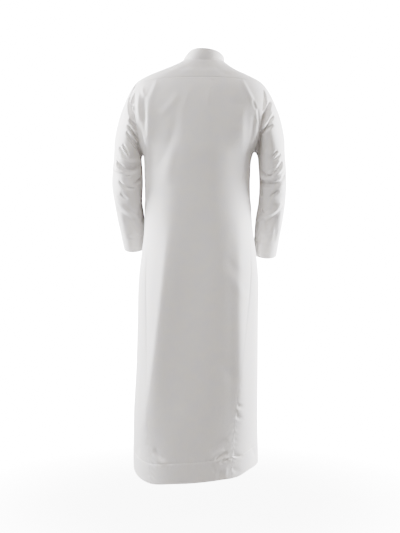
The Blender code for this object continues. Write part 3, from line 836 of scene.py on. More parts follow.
# Creases of the front, whose broad ones run on over the side panels as the back's do
FRONT_CREASES = (
    # start_x, start_z, end_x, end_z, bow, width_one_side, width_other_side, rise
    (150, -96, 192, -300, 12, 12, 15, 4.0),
    (-150, -96, -190, -290, -12, 15, 12, 4.0),
    (120, -110, 150, -250, 8, 24, 22, -4.0),
    (-118, -108, -146, -240, -8, 24, 22, -4.0),
    (178, -290, 96, -350, -8, 8, 12, -3.0),
    (-174, -282, -92, -338, 8, 8, 12, -3.0),
    (170, -330, 70, -430, -8, 10, 14, 2.4),
    (-168, -330, -84, -418, 8, 10, 14, 2.0),
    (60, -130, 84, -420, 10, 26, 24, 3.0),
    (-62, -140, -92, -400, -8, 26, 24, 3.0),
    (88, -470, 140, -1180, 8, 40, 34, 7.0),
    (-92, -500, -132, -1220, -8, 34, 40, 7.0),
    (0, -520, 14, -1250, 6, 60, 60, -5.0),
    (44, -640, 72, -1000, 6, 20, 24, -2.6),
    (-52, -700, -80, -1120, -6, 20, 24, -2.6),
    (150, -560, 96, -640, 6, 9, 12, -2.0),
    (-152, -600, -104, -690, 6, 9, 12, 2.0),
    (110, -1330, 66, -1364, 6, 6, 9, -2.6),
    (-100, -1322, -58, -1358, 6, 6, 9, -2.4),
    (30, -1200, -14, -1350, 6, 26, 30, 1.8),
)

for side, node in ((1, "side_panel_left"), (-1, "side_panel_right")):
    creases = CREASES_UNDER_ARM + (RIGHT_SEAM_DRAGS if side < 0 else ())
    net = side_points(side)
    over = run_over(net, BACK_CREASES, 1) + run_over(net, FRONT_CREASES, -1)
    surface = dress(net, creases, (1, 2), PANEL_EDGES, over=over)
    side_panel = cloth(node + "_cloth", turn_edges_in(surface, PANEL_EDGES), suiting)
    wear(side_panel, node)
    sew(node + "_hem_stitches", [seam_path(surface, "low", HEM_TURN_UP)])

# ---- Yoke ----
# The yoke is one horseshoe of suiting over both shoulders, cut double and sewn down over the tops
# of the back and front panels, so that it carries the robe's weight.

NECK_SQUARENESS = 2.25
NECK_MIDDLE_X = -12 * MM
NECK_HALF_WIDTH = 71 * MM
NECK_BEHIND = 65 * MM
NECK_IN_FRONT = 88 * MM
NECK_YOKE_CORNER = 116
NECK_SHOULDER_TURN = 72
NECK_LOWEST = -200 * MM
NECK_HIGHEST = 1 * MM
NECK_HALVINGS = 40
YOKE_CORNER_IN_FRONT = 214
YOKE_DEPTH = 0.13
YOKE_ROWS = 26
YOKE_END = lines(0.07, 12)
YOKE_BEHIND = lines(PANEL_WIDTH, 84)
YOKE_CREASES = (
    # start_x, start_z, end_x, end_z, bow, width_one_side, width_other_side, rise
    (50, -20, 150, -62, 4, 9, 12, 1.6),
    (-74, -22, -160, -72, 4, 9, 12, 1.6),
    (30, -40, 84, -72, 4, 10, 10, -1.4),
    (-50, -44, -104, -76, 4, 10, 10, -1.4),
    (-12, -26, -14, -66, 0, 16, 16, -1.2),
)


def neck_point(angle):
    """(turn, height) of the neck edge. Angle in degrees round the neck, 0 behind, + to the left."""
    side, back = np.sin(np.radians(angle)), np.cos(np.radians(angle))
    squared = np.abs(side) ** NECK_SQUARENESS + np.abs(back) ** NECK_SQUARENESS
    reach = squared ** (-1 / NECK_SQUARENESS)
    x = NECK_MIDDLE_X + NECK_HALF_WIDTH * reach * side
    y = np.where(back > 0, NECK_BEHIND, NECK_IN_FRONT) * reach * back
    low, high = np.full(x.shape, NECK_LOWEST), np.full(x.shape, NECK_HIGHEST)
    for _ in range(NECK_HALVINGS):
        z = (low + high) / 2
        half_width, middle, behind, in_front = ring(z)
        across, back = (x - middle) / half_width, y / np.where(y > 0, behind, in_front)
        outside = np.abs(across) ** SQUARENESS + np.abs(back) ** SQUARENESS > 1
        low, high = np.where(outside, low, z), np.where(outside, z, high)
    return np.arctan2(across, back), z


def yoke_points():
    """Columns run from the right front seam round the back to the left one, rows from the neck."""
    right_neck = -mix(NECK_YOKE_CORNER, NECK_SHOULDER_TURN, YOKE_END)
    back_neck = mix(-NECK_SHOULDER_TURN, NECK_SHOULDER_TURN, YOKE_BEHIND)
    left_neck = mix(NECK_SHOULDER_TURN, NECK_YOKE_CORNER, YOKE_END)
    inner = neck_point(np.concatenate([right_neck[:-1], back_neck, left_neck[1:]]))
    to_front = mix(YOKE_CORNER_BEHIND, YOKE_CORNER_IN_FRONT, YOKE_END)
    right, left = armhole_point(-1, to_front[::-1]), armhole_point(1, to_front)
    parts = zip(right, back_seam_line(YOKE_BEHIND), left)
    outer = (np.concatenate([one[:-1], back, other[1:]]) for one, back, other in parts)
    down = lines(YOKE_DEPTH, YOKE_ROWS)[:, None]
    return body(*(mix(near, far, down) for near, far in zip(inner, outer)))


YOKE_EDGES = ("seam", "seam", "seam", "seam")
YOKE_TOPSTITCH = 2.5 * MM
yoke_surface = dress(yoke_points(), YOKE_CREASES, (0, 2), YOKE_EDGES)
yoke = cloth("yoke_cloth", turn_edges_in(yoke_surface, YOKE_EDGES), suiting)
wear(yoke, "yoke")
first = len(YOKE_END) - 1
behind = yoke_surface[:, first : first + len(YOKE_BEHIND)]
sew("yoke_topstitches", [seam_path(behind, "high", YOKE_TOPSTITCH)])

# ---- Front panel ----
# The front is cut whole, and slit from the neck to the waist so that the robe goes on over the
# head. Its neck curve is sewn into the collar stand, and its shoulders to the yoke.

FRONT_SEAM_SHARE = 0.33
SLIT_BOTTOM = -470 * MM
SLIT_HALF_WIDTH = 0.4 * MM
BESIDE_NECK = lines(0.14, 28)
UNDER_NECK = lines(0.08, 16)
FRONT_SKIRT_ROWS = 200
FRONT_CHEST_ROWS = 60


def front_seam_line(side, shares):
    """The yoke seam in front of one shoulder, from the neck to the armhole."""
    inner_turn, inner_z = neck_point(np.array([side * NECK_YOKE_CORNER]))
    outer_turn, outer_z = armhole_point(side, YOKE_CORNER_IN_FRONT)
    return around(mix(inner_turn, outer_turn, shares)), mix(inner_z, outer_z, shares)


def front_points():
    """Columns run from the left to the right, and the two in the middle are the slit's edges."""
    beside, under = mix(0, FRONT_SEAM_SHARE, BESIDE_NECK), mix(FRONT_SEAM_SHARE, 0.5, UNDER_NECK)
    half = np.append(beside[:-1], under)
    shares = np.append(half, 1 - half[::-1])
    tops = []
    for side in (1, -1):
        seam_turn, seam_z = front_seam_line(side, 1 - BESIDE_NECK[:-1])
        neck_turn, neck_z = neck_point(side * mix(NECK_YOKE_CORNER, 180, UNDER_NECK))
        tops.append([np.append(seam_turn, around(neck_turn)), np.append(seam_z, neck_z)])
    top = (np.append(left, right[::-1]) for left, right in zip(*tops))
    corners = [armhole_point(side, 360 - SIDE_PANEL_CORNER)[1] for side in (1, -1)]
    up = skirt_shares(FRONT_SKIRT_ROWS)
    seams = (lambda z: around(side_seam(1, -1, z)), lambda z: around(side_seam(-1, -1, z)))
    skirt = skirt_net(*seams, *corners, up, shares)
    rows = lines(ARMHOLE_HEIGHT, FRONT_CHEST_ROWS, low=())
    angles = mix(360 - SIDE_PANEL_CORNER, YOKE_CORNER_IN_FRONT, rows)
    points = join_at_corners(skirt, chest_net(angles, -1, shares, *top), up)
    middle = len(half)
    opened = np.where(points[:, middle, 2] > SLIT_BOTTOM, SLIT_HALF_WIDTH, 0)
    points[:, middle - 1, 0] += opened
    points[:, middle, 0] -= opened
    return points, middle


front_net, slit_column = front_points()
over = run_over(front_net, FRONT_CREASES, -1)
front_surface = dress(front_net, pick(FRONT_CREASES, False), (0, 2), PANEL_EDGES, over=over)
front_shell = turn_edges_in(front_surface, PANEL_EDGES)
front_panel = cloth("front_panel_cloth", front_shell, suiting, skip_column=slit_column)
wear(front_panel, "front_panel")
sew("front_hem_stitches", [seam_path(front_surface, "low", HEM_TURN_UP)])

# ---- Collar stand ----
# The collar is a band of doubled suiting over stiff interlining. It stands round the neck, a little
# higher behind, is topstitched near both edges, and its ends meet in front.

COLLAR_WALL = 2.0 * MM
COLLAR_RISE_BEHIND = 40 * MM
COLLAR_RISE_SIDE = 22 * MM
COLLAR_RISE_FRONT = 34 * MM
COLLAR_TILT = 0.06
COLLAR_TOP_MIDDLE_X = -20 * MM
COLLAR_TOP_HALF_WIDTH = 62 * MM
COLLAR_TOP_BEHIND = 59 * MM
COLLAR_TOP_IN_FRONT = 76 * MM
COLLAR_BOW = 2.0 * MM
COLLAR_END_GAP = 0.1 * MM
COLLAR_LENGTH = 0.42
COLLAR_HEIGHT = 0.036
COLLAR_COLUMNS = 120
COLLAR_ROWS = 7
BAND_TOPSTITCH = 4 * MM
BAND_GROOVE = 0.45 * MM
BAND_GROOVE_WIDTH = 1.3 * MM
ALLOWANCE_IN = 2.4 * MM
ALLOWANCE_DROPS = (7 * MM, 0.5 * MM)


def collar_points():
    angles = mix(-180, 180, lines(COLLAR_LENGTH, COLLAR_COLUMNS))[None]
    base = body(*neck_point(angles))
    side, back = np.sin(np.radians(angles)), np.cos(np.radians(angles))
    depth = np.where(back > 0, COLLAR_TOP_BEHIND, COLLAR_TOP_IN_FRONT)
    end_rise = np.where(back > 0, COLLAR_RISE_BEHIND, COLLAR_RISE_FRONT)
    rise = mix(COLLAR_RISE_SIDE, end_rise, back * back) + COLLAR_TILT * NECK_HALF_WIDTH * side
    top_x = COLLAR_TOP_MIDDLE_X + COLLAR_TOP_HALF_WIDTH * side
    top = np.stack([top_x, depth * back, base[..., 2] + rise], axis=-1)
    up = lines(COLLAR_HEIGHT, COLLAR_ROWS)[:, None, None]
    out = np.stack([side, back, side * 0], axis=-1)
    points = mix(base, top, up) + out * COLLAR_BOW * np.sin(math.pi * up)
    points[:, 0, 0] -= COLLAR_END_GAP / 2
    points[:, -1, 0] += COLLAR_END_GAP / 2
    return points


def dress_band(points, closed=False):
    """Draws in grooves where a doubled band is topstitched, near its two long edges."""
    depths = [
        np.exp(-(((distance - BAND_TOPSTITCH) / BAND_GROOVE_WIDTH) ** 2))
        for distance in edge_distances(points)[:2]
    ]
    return points - net_normals(points, closed) * BAND_GROOVE * sum(depths)[..., None]


def sewn_in(points):
    """Adds the band's seam allowance, turned to the inside below the neck seam."""
    base = points[0]
    inward = unit((np.array([NECK_MIDDLE_X, 0, 0]) - base) * [1, 1, 0])
    allowance = [base + inward * ALLOWANCE_IN - [0, 0, drop] for drop in ALLOWANCE_DROPS]
    return np.concatenate([allowance, points])


collar_surface = dress_band(collar_points())
collar = cloth("collar_stand_cloth", sewn_in(collar_surface), suiting, wall=COLLAR_WALL)
wear(collar, "collar_stand")
rows = [seam_path(collar_surface, edge, BAND_TOPSTITCH) for edge in ("low", "high")]
sew("collar_topstitches", rows, COLLAR_WALL)

# ---- Sleeves ----
# Each sleeve is one piece of suiting with a shaped cap, closed along the inside of the arm. Set
# into the armhole with a seam, it drags from there, and breaks into folds at the bent elbow.

ARM_ROWS = {
    # height, middle x, middle y, half width, half depth, from the upper arm to the cuff edge, in mm
    1: (
        (-350, 252, 4, 48.5, 74),
        (-400, 252, 8, 52.5, 68),
        (-445, 252.5, 4, 53.5, 62),
        (-498, 251, -16, 48.5, 57),
        (-552, 244.5, -43, 47.5, 52),
        (-604, 239, -70, 43.5, 48),
        (-656, 233, -95, 40, 44),
    ),
    -1: (
        (-345, -250, 4, 48, 74),
        (-400, -253, 8, 47.5, 68),
        (-450, -253.8, 4, 46.8, 62),
        (-508, -251.2, -16, 46.8, 57),
        (-567, -243.8, -43, 47.8, 52),
        (-624, -238.5, -70, 44.5, 48),
        (-680, -234, -95, 41, 44),
    ),
}
CUFF_SHARE = 0.155
CAP_PULL_SIDES = 0.4
CAP_PULL_BOTTOM = 0.5
CAP_PULL_TOP = {1: 0.2, -1: 0.38}
ARMPIT_FOLD = 15 * MM

# Creases of the sleeves: places are degrees round the arm from its inner side by way of the back,
# and heights in mm. A degree counts as 0.9 mm.
ROUND_MM = 0.9
SLEEVE_CREASES = {
    1: (
        # start_angle, start_z, end_angle, end_z, bow, width_one_side, width_other_side, rise
        (158, -76, 104, -206, 7, 2.4, 2.8, -26),
        (132, -98, 96, -214, 4, 2.4, 2.8, -24),
        (152, -139, 75, -238, -8, 3, 3, 4.5),
        (130, -160, 61, -265, -1, 4, 5, -26),
        (105, -210, 67, -254, -1, 3, 3, 4.8),
        (98, -223, 62, -265, 1, 3, 3.5, -17),
        (98, -237, 56, -276, 2, 4, 3, 4.5),
        (97, -242, 48, -298, 1, 3.5, 4.5, -16),
        (96, -260, 46, -305, 2, 4, 3, 3.9),
        (96, -265, 49, -307, 5, 3.5, 4.5, -8.3),
        (89, -288, 34, -329, 2, 3.5, 4.5, -7.3),
        (52, -299, -3, -359, 4, 4, 5, -12.5),
        (106, -309, 78, -347, -1, 3, 4.5, -10.1),
        (108, -322, 84, -349, -1, 4, 3, 4),
        (120, -316, 82, -358, 2, 3.5, 6, -10.9),
        (118, -349, 71, -368, 5, 5, 4, 4),
        (134, -364, 24, -370, 27, 6, 12, -21.4),
        (140, -344, 26, -350, 27, 8, 6, 5),
        (156, -385, 96, -405, 4, 5, 4, 4),
        (19, -370, 60, -440, -18, 6, 4, -18.6),
        (96, -412, 70, -413, 6, 3, 3, -4),
        (116, -430, 63, -457, 8, 3, 5, -10.1),
        (111, -471, 86, -491, 2, 3, 5, -3.5),
        (52, -445, 42, -524, 1, 3, 8, 5),
        (157, -488, 26, -586, -4, 10, 8, 7),
        (156, -515, 42, -607, -1, 9, 14, -8),
        (114, -617, 36, -614, 3, 5, 3, -3.5),
        (92, -200, 80, -363, -3, 24, 24, 8),
        (92, -404, 114, -490, -2, 24, 22, 6),
        (115, -497, 115, -640, 6, 26, 18, 3),
        (72, -424, 58, -560, 3, 24, 24, 13),
        (186, -150, 176, -330, 4, 14, 12, 3),
        (172, -300, 196, -440, 4, 10, 12, -3),
        (214, -120, 262, -206, 4, 5, 6, -4.5),
        (226, -152, 276, -238, 3, 5, 7, 4),
        (236, -196, 290, -280, -4, 5, 6, -5),
        (212, -232, 262, -300, 4, 6, 7, 3),
        (246, -282, 300, -330, 4, 5, 7, -3.5),
        (206, -330, 262, -372, 6, 5, 6, 2.5),
        (322, -356, 236, -384, -14, 5, 8, -6),
        (330, -388, 240, -418, -12, 6, 6, 4.5),
        (336, -408, 232, -446, -10, 5, 7, -7),
        (330, -440, 242, -474, -6, 7, 6, 4),
        (316, -474, 250, -500, -4, 5, 6, -4),
        (222, -452, 206, -548, 3, 10, 13, 4),
        (306, -520, 244, -588, 3, 9, 12, -4),
        (290, -566, 226, -612, 4, 7, 8, 3),
    ),
    -1: (
        (140, -102, 92, -203, 0, 3, 3.4, -18),
        (136, -154, 53, -272, -2, 3.4, 4.2, -27),
        (110, -178, 86, -220, 0, 3, 3, 4.8),
        (127, -190, 66, -264, 0, 4, 3, 4.8),
        (123, -207, 70, -262, 0, 3.5, 3.5, -14),
        (108, -239, 43, -283, -1, 3, 6, -12.5),
        (107, -227, 58, -264, 0, 4, 3, 4.2),
        (58, -273, 16, -332, 2, 4, 5, -13.7),
        (84, -352, 108, -331, 1, 3.5, 3, -6.8),
        (87, -361, 115, -336, 1, 2.5, 3, 3),
        (89, -366, 123, -341, 0, 3.5, 3, -6.8),
        (88, -389, 118, -362, -2, 3, 4, 3.5),
        (82, -408, 130, -365, -4, 5.5, 3.5, -12.7),
        (82, -419, 140, -376, -4, 3, 4, 4),
        (28, -391, 90, -410, -14, 6, 3, -11.8),
        (30, -408, 80, -425, -4, 3, 4, 3),
        (0, -416, 146, -410, -31, 11, 5, -16.8),
        (8, -400, 142, -394, -31, 8, 6, 5),
        (80, -433, 110, -420, -2, 3, 2.5, -4),
        (32, -445, 120, -446, -12, 6, 4, 4),
        (72, -484, 106, -466, -2, 5, 3, -6.5),
        (14, -433, 34, -486, 3, 5, 5, -15.2),
        (84, -494, 117, -465, 1, 3, 4, 3),
        (21, -564, 130, -504, -10, 7, 9, 7),
        (139, -514, 64, -581, 5, 8, 14, -8),
        (43, -622, 116, -598, 2, 6, 7, 2.5),
        (36, -515, 53, -547, -1, 3, 3, -2.5),
        (54, -523, 66, -544, -1, 3, 3, -2.5),
        (112, -567, 120, -639, 1, 6, 8, -1.6),
        (94, -200, 86, -363, -3, 26, 24, 8),
        (90, -390, 124, -489, 3, 30, 22, 9),
        (128, -500, 134, -640, -3, 32, 16, 8),
        (188, -160, 178, -340, -4, 14, 12, 3),
        (170, -290, 194, -430, -4, 10, 12, -3),
        (218, -128, 268, -210, -3, 5, 6, -5),
        (230, -168, 284, -252, 3, 6, 6, 4),
        (224, -202, 280, -290, 4, 5, 7, -5),
        (208, -250, 258, -318, 5, 6, 7, 3),
        (250, -300, 304, -344, -3, 5, 6, -3.5),
        (318, -366, 232, -398, -12, 5, 8, -6.5),
        (334, -396, 246, -430, -13, 6, 6, 4.5),
        (330, -424, 228, -458, -9, 5, 7, -7),
        (326, -462, 240, -488, -5, 7, 6, 4),
        (312, -490, 256, -512, -4, 5, 6, -4),
        (220, -470, 208, -572, -3, 10, 13, 4),
        (302, -536, 246, -606, 4, 9, 12, -4),
        (286, -588, 228, -634, 3, 7, 8, 3),
    ),
}
AHEAD_ON_ARM = 0.02
TURN_STEP = 0.01
HEIGHT_STEP = 1 * MM


def arm_rings(side, shares, angles):
    """Points of the sleeve and the way of the arm, at shares of it from upper arm to cuff edge."""
    rows = ARM_ROWS[side]
    table = [(i / (len(rows) - 1), *row) for i, row in enumerate(rows)]

    def centre(at):
        return np.stack([read(table, column, at) for column in (2, 3, 1)], axis=-1) * MM

    after, before = np.minimum(shares + AHEAD_ON_ARM, 1), np.maximum(shares - AHEAD_ON_ARM, 0)
    along = unit(centre(after) - centre(before))
    behind = unit([0, 1, 0] - along * along[:, 1:2])
    outward = np.cross(along, behind) * side
    half_width, half_depth = read(table, 4, shares) * MM, read(table, 5, shares) * MM
    turn = np.radians(angles)[:, None]
    offset = behind[:, None] * np.sin(turn) * half_depth[:, None, None]
    offset = offset - outward[:, None] * np.cos(turn) * half_width[:, None, None]
    return centre(shares)[:, None] + offset, along


def cap_rows(side, shares, angles):
    """The sleeve's cap leaves the armhole in line with the body and turns down along the arm."""
    turn, z = armhole_point(side, angles)
    start = body(turn, z)
    edge = body(*armhole_point(side, angles + 1)) - body(*armhole_point(side, angles - 1))
    round_body = body(turn + TURN_STEP, z) - body(turn - TURN_STEP, z)
    up_body = body(turn, z + HEIGHT_STEP) - body(turn, z - HEIGHT_STEP)
    leave = unit(np.cross(edge, np.cross(round_body, up_body)))
    inward = start.mean(axis=0) - start
    leave = leave * np.sign((leave * inward).sum(axis=-1))[:, None]
    ends, along = arm_rings(side, np.zeros(1), angles)
    end, along = ends[0], along[0]
    length = np.linalg.norm(end - start, axis=-1)[:, None]
    upright = np.cos(np.radians(angles))[:, None]
    pull_end = np.where(upright > 0, CAP_PULL_BOTTOM, CAP_PULL_TOP[side])
    pull = length * (CAP_PULL_SIDES + pull_end * upright**2)
    pull = pull + ARMPIT_FOLD * np.maximum(0, upright) ** 2
    t = shares[:, None, None]
    points = start * ((1 + 2 * t) * (1 - t) ** 2) + end * (t * t * (3 - 2 * t))
    return points + leave * (t * (1 - t) ** 2 * pull) - along * (t * t * (1 - t) * length)


def round_sleeve(angles):
    """Where a sleeve's points lie for its creases: mm round the arm, and height in mm."""

    def place(points):
        return np.broadcast_to(angles % 360 * ROUND_MM, points.shape[:2]), points[..., 2] / MM

    return place


def round_rows(rows):
    """Creases placed by degrees round the arm, as creases in mm."""
    return [(start * ROUND_MM, low, end * ROUND_MM, *rest) for start, low, end, *rest in rows]


SLEEVE_EDGES = ("seam", "seam", None, None)
# Columns stand closer behind the arm, where the folds are, than on the rest of it
BEHIND_ARM = np.linspace(14, 166, 130)
REST_OF_ARM = np.linspace(166, 374, 70)[1:-1]
SLEEVE_ANGLES = np.append(BEHIND_ARM, REST_OF_ARM)
CAP_SHARES = lines(0.2, 80, high=())
ARM_SHARES = mix(0, 1 - CUFF_SHARE, lines(0.27, 128, low=()))
for side, node in ((1, "sleeve_left"), (-1, "sleeve_right")):
    cap = cap_rows(side, CAP_SHARES, SLEEVE_ANGLES)
    arm = arm_rings(side, ARM_SHARES, SLEEVE_ANGLES)[0]
    net = np.concatenate([cap, arm[1:]])
    creases = round_rows(SLEEVE_CREASES[side])
    surface = dress(net, creases, round_sleeve(SLEEVE_ANGLES), SLEEVE_EDGES, closed=True)
    shell = turn_edges_in(surface, SLEEVE_EDGES, closed=True)
    sleeve = cloth(node + "_cloth", shell, suiting, closed=True)
    wear(sleeve, node)

# ---- Cuffs ----
# A cuff is a band of doubled suiting with light interlining, sewn round the end of the sleeve and
# topstitched along both edges.

CUFF_WALL = 2.0 * MM
CUFF_SHARES = mix(1 - CUFF_SHARE, 1, lines(0.05, 20))
for side, node in ((1, "cuff_left"), (-1, "cuff_right")):
    surface = dress_band(arm_rings(side, CUFF_SHARES, SLEEVE_ANGLES)[0], closed=True)
    cuff = cloth(node + "_cloth", surface, suiting, wall=CUFF_WALL, closed=True)
    wear(cuff, node)
    rows = [seam_path(surface, edge, BAND_TOPSTITCH, closed=True) for edge in ("low", "high")]
    sew(node + "_topstitches", rows, CUFF_WALL, closed=True)

# ---- Placket ----
# The placket is a strip of doubled suiting that covers the slit, topstitched down both sides and
# across its foot, with three buttons down its middle.

PLACKET_WALL = 1.6 * MM
PLACKET_HALF_WIDTH = 20 * MM
PLACKET_TOP = -86 * MM
PLACKET_FOOT = -484 * MM
PLACKET_LIFT = 1.1 * MM
PLACKET_TOPSTITCH = 3 * MM
PLACKET_COLUMNS = 17


def placket_points():
    """The strip lies on the front panel's own rows, moved out by its wall."""
    across = np.linspace(-PLACKET_HALF_WIDTH, PLACKET_HALF_WIDTH, PLACKET_COLUMNS)
    strip = []
    for row, out in zip(front_surface, net_normals(front_surface, False)):
        if PLACKET_FOOT < row[slit_column, 2] < PLACKET_TOP:
            order = np.argsort(row[:, 0])
            x = (row[slit_column, 0] + row[slit_column - 1, 0]) / 2 + across
            spot, lift = (points_at(x, row[order, 0], net[order]) for net in (row, out))
            strip.append(spot + unit(lift) * PLACKET_LIFT)
    return np.array(strip)


placket_net = placket_points()
placket = cloth("placket_cloth", placket_net, suiting, wall=PLACKET_WALL)
wear(placket, "placket")
rows = [seam_path(placket_net, edge, PLACKET_TOPSTITCH) for edge in ("left", "right", "low")]
sew("placket_topstitches", rows, PLACKET_WALL)

# ---- Buttons ----
# Three small white buttons of polyester resin, pearl-like and glossy, with a raised rim and four
# sewing holes, are sewn through the placket.

# Polyester resin, cast in cloudy layers, turned and tumbled to a polish: milky streaks a few
# millimetres long under a clear gloss
PEARL_WHITES = ("#DDD9D2", "#F4F2EC")
PEARL_SURFACE = {"Roughness": 0.22, "IOR": 1.55, "Coat Weight": 0.4}


def pearl_resin():
    look, tree, shader = start_material("polished_pearl_resin", PEARL_SURFACE)
    spot = {"Vector": add_node(tree, "ShaderNodeTexCoord").outputs["Object"]}
    layers = {"Scale": 260.0, "Detail": 3.0, "Distortion": 1.5}
    cloud = add_node(tree, "ShaderNodeTexNoise", None, layers, spot).outputs["Fac"]
    tone = add_node(tree, "ShaderNodeValToRGB", links={"Fac": cloud})
    for stop, at, white in zip(tone.color_ramp.elements, (0.35, 0.65), PEARL_WHITES):
        stop.position, stop.color = at, linear(white)
    tree.links.new(tone.outputs["Color"], shader.inputs["Base Color"])
    return look


resin = pearl_resin()
BUTTON_RADIUS = 5.5 * MM
BUTTON_THICKNESS = 2.4 * MM
BUTTON_PROFILE = (
    # share of the radius, share of the thickness, from the face over the rim to the back
    (0.62, 0.5),
    (0.70, 0.62),
    (0.80, 0.97),
    (0.86, 1.0),
    (0.93, 0.93),
    (1.0, 0.6),
    (0.98, 0.25),
    (0.8, 0.0),
)
BUTTON_SIDES = 40
HOLE_SIDES = 14
HOLE_RADIUS = 0.75 * MM
HOLE_OFFSET = 1.2 * MM
INSIDE_HOLE = 0.97 * HOLE_RADIUS
HOLES = [(x * HOLE_OFFSET, y * HOLE_OFFSET) for y in (-1, 1) for x in (-1, 1)]
LAPS = [y * HOLE_OFFSET + lap * THREAD_THICKNESS for y in (-1, 1) for lap in (-1, 0, 1)]
LAPS_CLEAR = 0.15 * MM


def turned_button(name):
    """A button turned on a lathe, with four holes bored through it."""
    work = bmesh.new()

    def circle(radius, height, sides, x=0, y=0):
        turns = [2 * math.pi * i / sides for i in range(sides)]
        spots = [(x + radius * math.cos(turn), y + radius * math.sin(turn)) for turn in turns]
        return [work.verts.new((*spot, height)) for spot in spots]

    def join(one, other):
        for i in range(len(one)):
            work.faces.new((one[i - 1], other[i - 1], other[i], one[i])).smooth = True

    rings = [
        circle(share * BUTTON_RADIUS, (height - 0.5) * BUTTON_THICKNESS, BUTTON_SIDES)
        for share, height in BUTTON_PROFILE
    ]
    for upper, lower in zip(rings[:-1], rings[1:]):
        join(upper, lower)
    bores = []
    for rim in (rings[0], rings[-1]):
        bores.append([circle(HOLE_RADIUS, rim[0].co.z, HOLE_SIDES, *hole) for hole in HOLES])
        flat, edges = [], []
        for loop in (rim, *bores[-1]):
            first, count = len(flat), len(loop)
            edges += [(first + i, first + (i + 1) % count) for i in range(count)]
            flat += loop
        spots = [vert.co.xy for vert in flat]
        _, _, faces, sources, *_ = geometry.delaunay_2d_cdt(spots, edges, [], 0, 1e-9)
        for corners in faces:
            face = [flat[sources[corner][0]] for corner in corners]
            middle = sum((vert.co.xy for vert in face), Vector((0, 0))) / 3
            if min((middle - Vector(hole)).length for hole in HOLES) > INSIDE_HOLE:
                work.faces.new(face)
    for upper, lower in zip(*bores):
        join(upper, lower)
    bmesh.ops.recalc_face_normals(work, faces=work.faces)
    return make_piece(name, work, resin)


for number in (1, 2, 3):
    node = f"button_{number}"
    low, high = (np.array(corner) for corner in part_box(node))
    centre = (low + high) / 2
    column = PLACKET_COLUMNS // 2
    row = np.abs(placket_net[:, column, 2] - centre[2]).argmin()
    facing = Vector(net_normals(placket_net, False)[row, column]).to_track_quat("Z", "Y")
    button = turned_button(node + "_resin")
    button.rotation_euler = facing.to_euler()
    button.location = centre
    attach(button, "root")
    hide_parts(node)
    starts, ends = (
        np.array([facing @ Vector((x, y, 0)) for y in LAPS]) + centre
        for x in (-HOLE_OFFSET, HOLE_OFFSET)
    )
    ups = np.array([facing @ Vector((0, 0, 1)) for _ in LAPS])
    lay_thread(node + "_thread", starts, ends, ups, LAPS_CLEAR)

# ---- Floor, light and camera ----
# A plain sweep of matt paint below the hem, as if the wearer stood on it, which runs out into plain
# white. Two tall softboxes stand at the robe's sides, a small one stands behind it to the left, and
# the room fills in from all round.

FLOOR_SIZE = 60
FLOOR_HEIGHT = -1.545
FLOOR_GREY = "#4E4E4E"
FLOOR_GLOW = 9.0
GLOW_STARTS = 0.3
GLOW_ENDS = 2.0
PURE_WHITE = 30.0

bpy.ops.mesh.primitive_plane_add(size=FLOOR_SIZE, location=(0, 0, FLOOR_HEIGHT))
floor = bpy.context.active_object
floor.name = "studio_floor"

# Rolled-on emulsion, which scatters evenly. It throws little light back at the robe, as dark grey
# does, but shows to the eye as a pale floor, lit up to plain white past its edges
FLOOR_SURFACE = {
    "Base Color": linear(FLOOR_GREY),
    "Roughness": 0.9,
    "Emission Color": (1, 1, 1, 1),
}


def matt_floor_paint():
    look, tree, paint = start_material("matt_floor_paint", FLOOR_SURFACE)
    spot = add_node(tree, "ShaderNodeTexCoord").outputs["Object"]
    length = {"operation": "LENGTH"}
    away = add_node(tree, "ShaderNodeVectorMath", length, None, {0: spot}).outputs["Value"]
    soft = {"interpolation_type": "SMOOTHSTEP"}
    spread = {"From Min": GLOW_STARTS, "From Max": GLOW_ENDS}
    spread |= {"To Min": FLOOR_GLOW, "To Max": PURE_WHITE}
    glow = add_node(tree, "ShaderNodeMapRange", soft, spread, {"Value": away}).outputs["Result"]
    seen = add_node(tree, "ShaderNodeLightPath").outputs["Is Camera Ray"]
    shown = add_node(tree, "ShaderNodeMath", {"operation": "MULTIPLY"}, links={0: glow, 1: seen})
    tree.links.new(shown.outputs[0], paint.inputs["Emission Strength"])
    return look


floor.data.materials.append(matt_floor_paint())

# Light in the room comes mostly from above and in front, and is warmer behind the robe
ROOM_LIGHT_FROM = (0, -0.3, 0.954)
ROOM_LIGHT_MOST = 1.92
ROOM_LIGHT_LEAST = 0.15
ROOM_TINTS = ("#F3F1FF", "#FFF7EC")
world = bpy.data.worlds.new("soft_white_studio")
world.use_nodes = True
bpy.context.scene.world = world
room = world.node_tree
direction = add_node(room, "ShaderNodeTexCoord").outputs["Generated"]
backwards = add_node(room, "ShaderNodeSeparateXYZ", links={"Vector": direction}).outputs["Y"]
dot = {"operation": "DOT_PRODUCT"}
towards = add_node(room, "ShaderNodeVectorMath", dot, {1: ROOM_LIGHT_FROM}, {0: direction})
spread = {"From Min": -1.0, "From Max": 1.0, "To Min": ROOM_LIGHT_LEAST, "To Max": ROOM_LIGHT_MOST}
link = {"Value": towards.outputs["Value"]}
strength = add_node(room, "ShaderNodeMapRange", None, spread, link).outputs["Result"]
spread = {"From Min": -1.0, "From Max": 1.0, "To Min": 0.0, "To Max": 1.0}
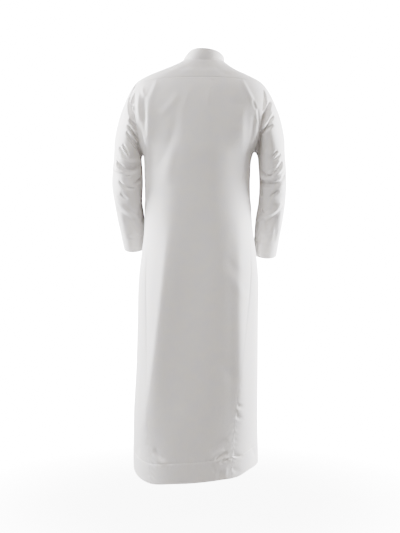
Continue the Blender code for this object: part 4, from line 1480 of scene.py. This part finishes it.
warmth = add_node(room, "ShaderNodeMapRange", None, spread, {"Value": backwards})
tint = add_node(room, "ShaderNodeValToRGB", links={"Fac": warmth.outputs["Result"]})
for stop, colour in zip(tint.color_ramp.elements, ROOM_TINTS):
    stop.color = linear(colour)
fill = room.nodes["Background"]
room.links.new(tint.outputs["Color"], fill.inputs["Color"])
room.links.new(strength, fill.inputs["Strength"])
white = add_node(room, "ShaderNodeBackground", None, {"Strength": PURE_WHITE}).outputs[0]
seen = add_node(room, "ShaderNodeLightPath").outputs["Is Camera Ray"]
both = add_node(room, "ShaderNodeMixShader", links={0: seen, 1: fill.outputs[0], 2: white})
room.links.new(both.outputs[0], room.nodes["World Output"].inputs["Surface"])

LIT_POINT = Vector((0, 0, -0.6))
SOFTBOX_WHITE = "#FBFBFF"
SOFTBOXES = (
    # x, y, z, width, height, watts
    (-2.0, -0.38, -0.4, 0.7, 2.0, 320),
    (1.7, -0.35, 0.0, 0.65, 1.5, 250),
    (1.2, 1.0, 0.1, 0.8, 0.8, 19),
)
for x, y, z, width, height, watts in SOFTBOXES:
    panel = bpy.data.lights.new("softbox", "AREA")
    panel.shape = "RECTANGLE"
    panel.size, panel.size_y = width, height
    panel.energy = watts
    panel.color = linear(SOFTBOX_WHITE)[:3]
    lamp = bpy.data.objects.new("softbox", panel)
    bpy.context.scene.collection.objects.link(lamp)
    lamp.location = (x, y, z)
    lamp.rotation_euler = (LIT_POINT - lamp.location).to_track_quat("-Z", "Y").to_euler()

CAMERA_DISTANCE = 3.0
CAMERA_HEIGHT = -0.726
FRAME_HEIGHT = 1.8655
SENSOR = 36.0
lens = bpy.data.cameras.new("camera")
lens.sensor_width = SENSOR
lens.lens = SENSOR * CAMERA_DISTANCE / FRAME_HEIGHT
camera = bpy.data.objects.new("camera", lens)
camera.location = (0, CAMERA_DISTANCE, CAMERA_HEIGHT)
camera.rotation_euler = (math.radians(90), 0, math.radians(180))
bpy.context.scene.collection.objects.link(camera)
bpy.context.scene.camera = camera
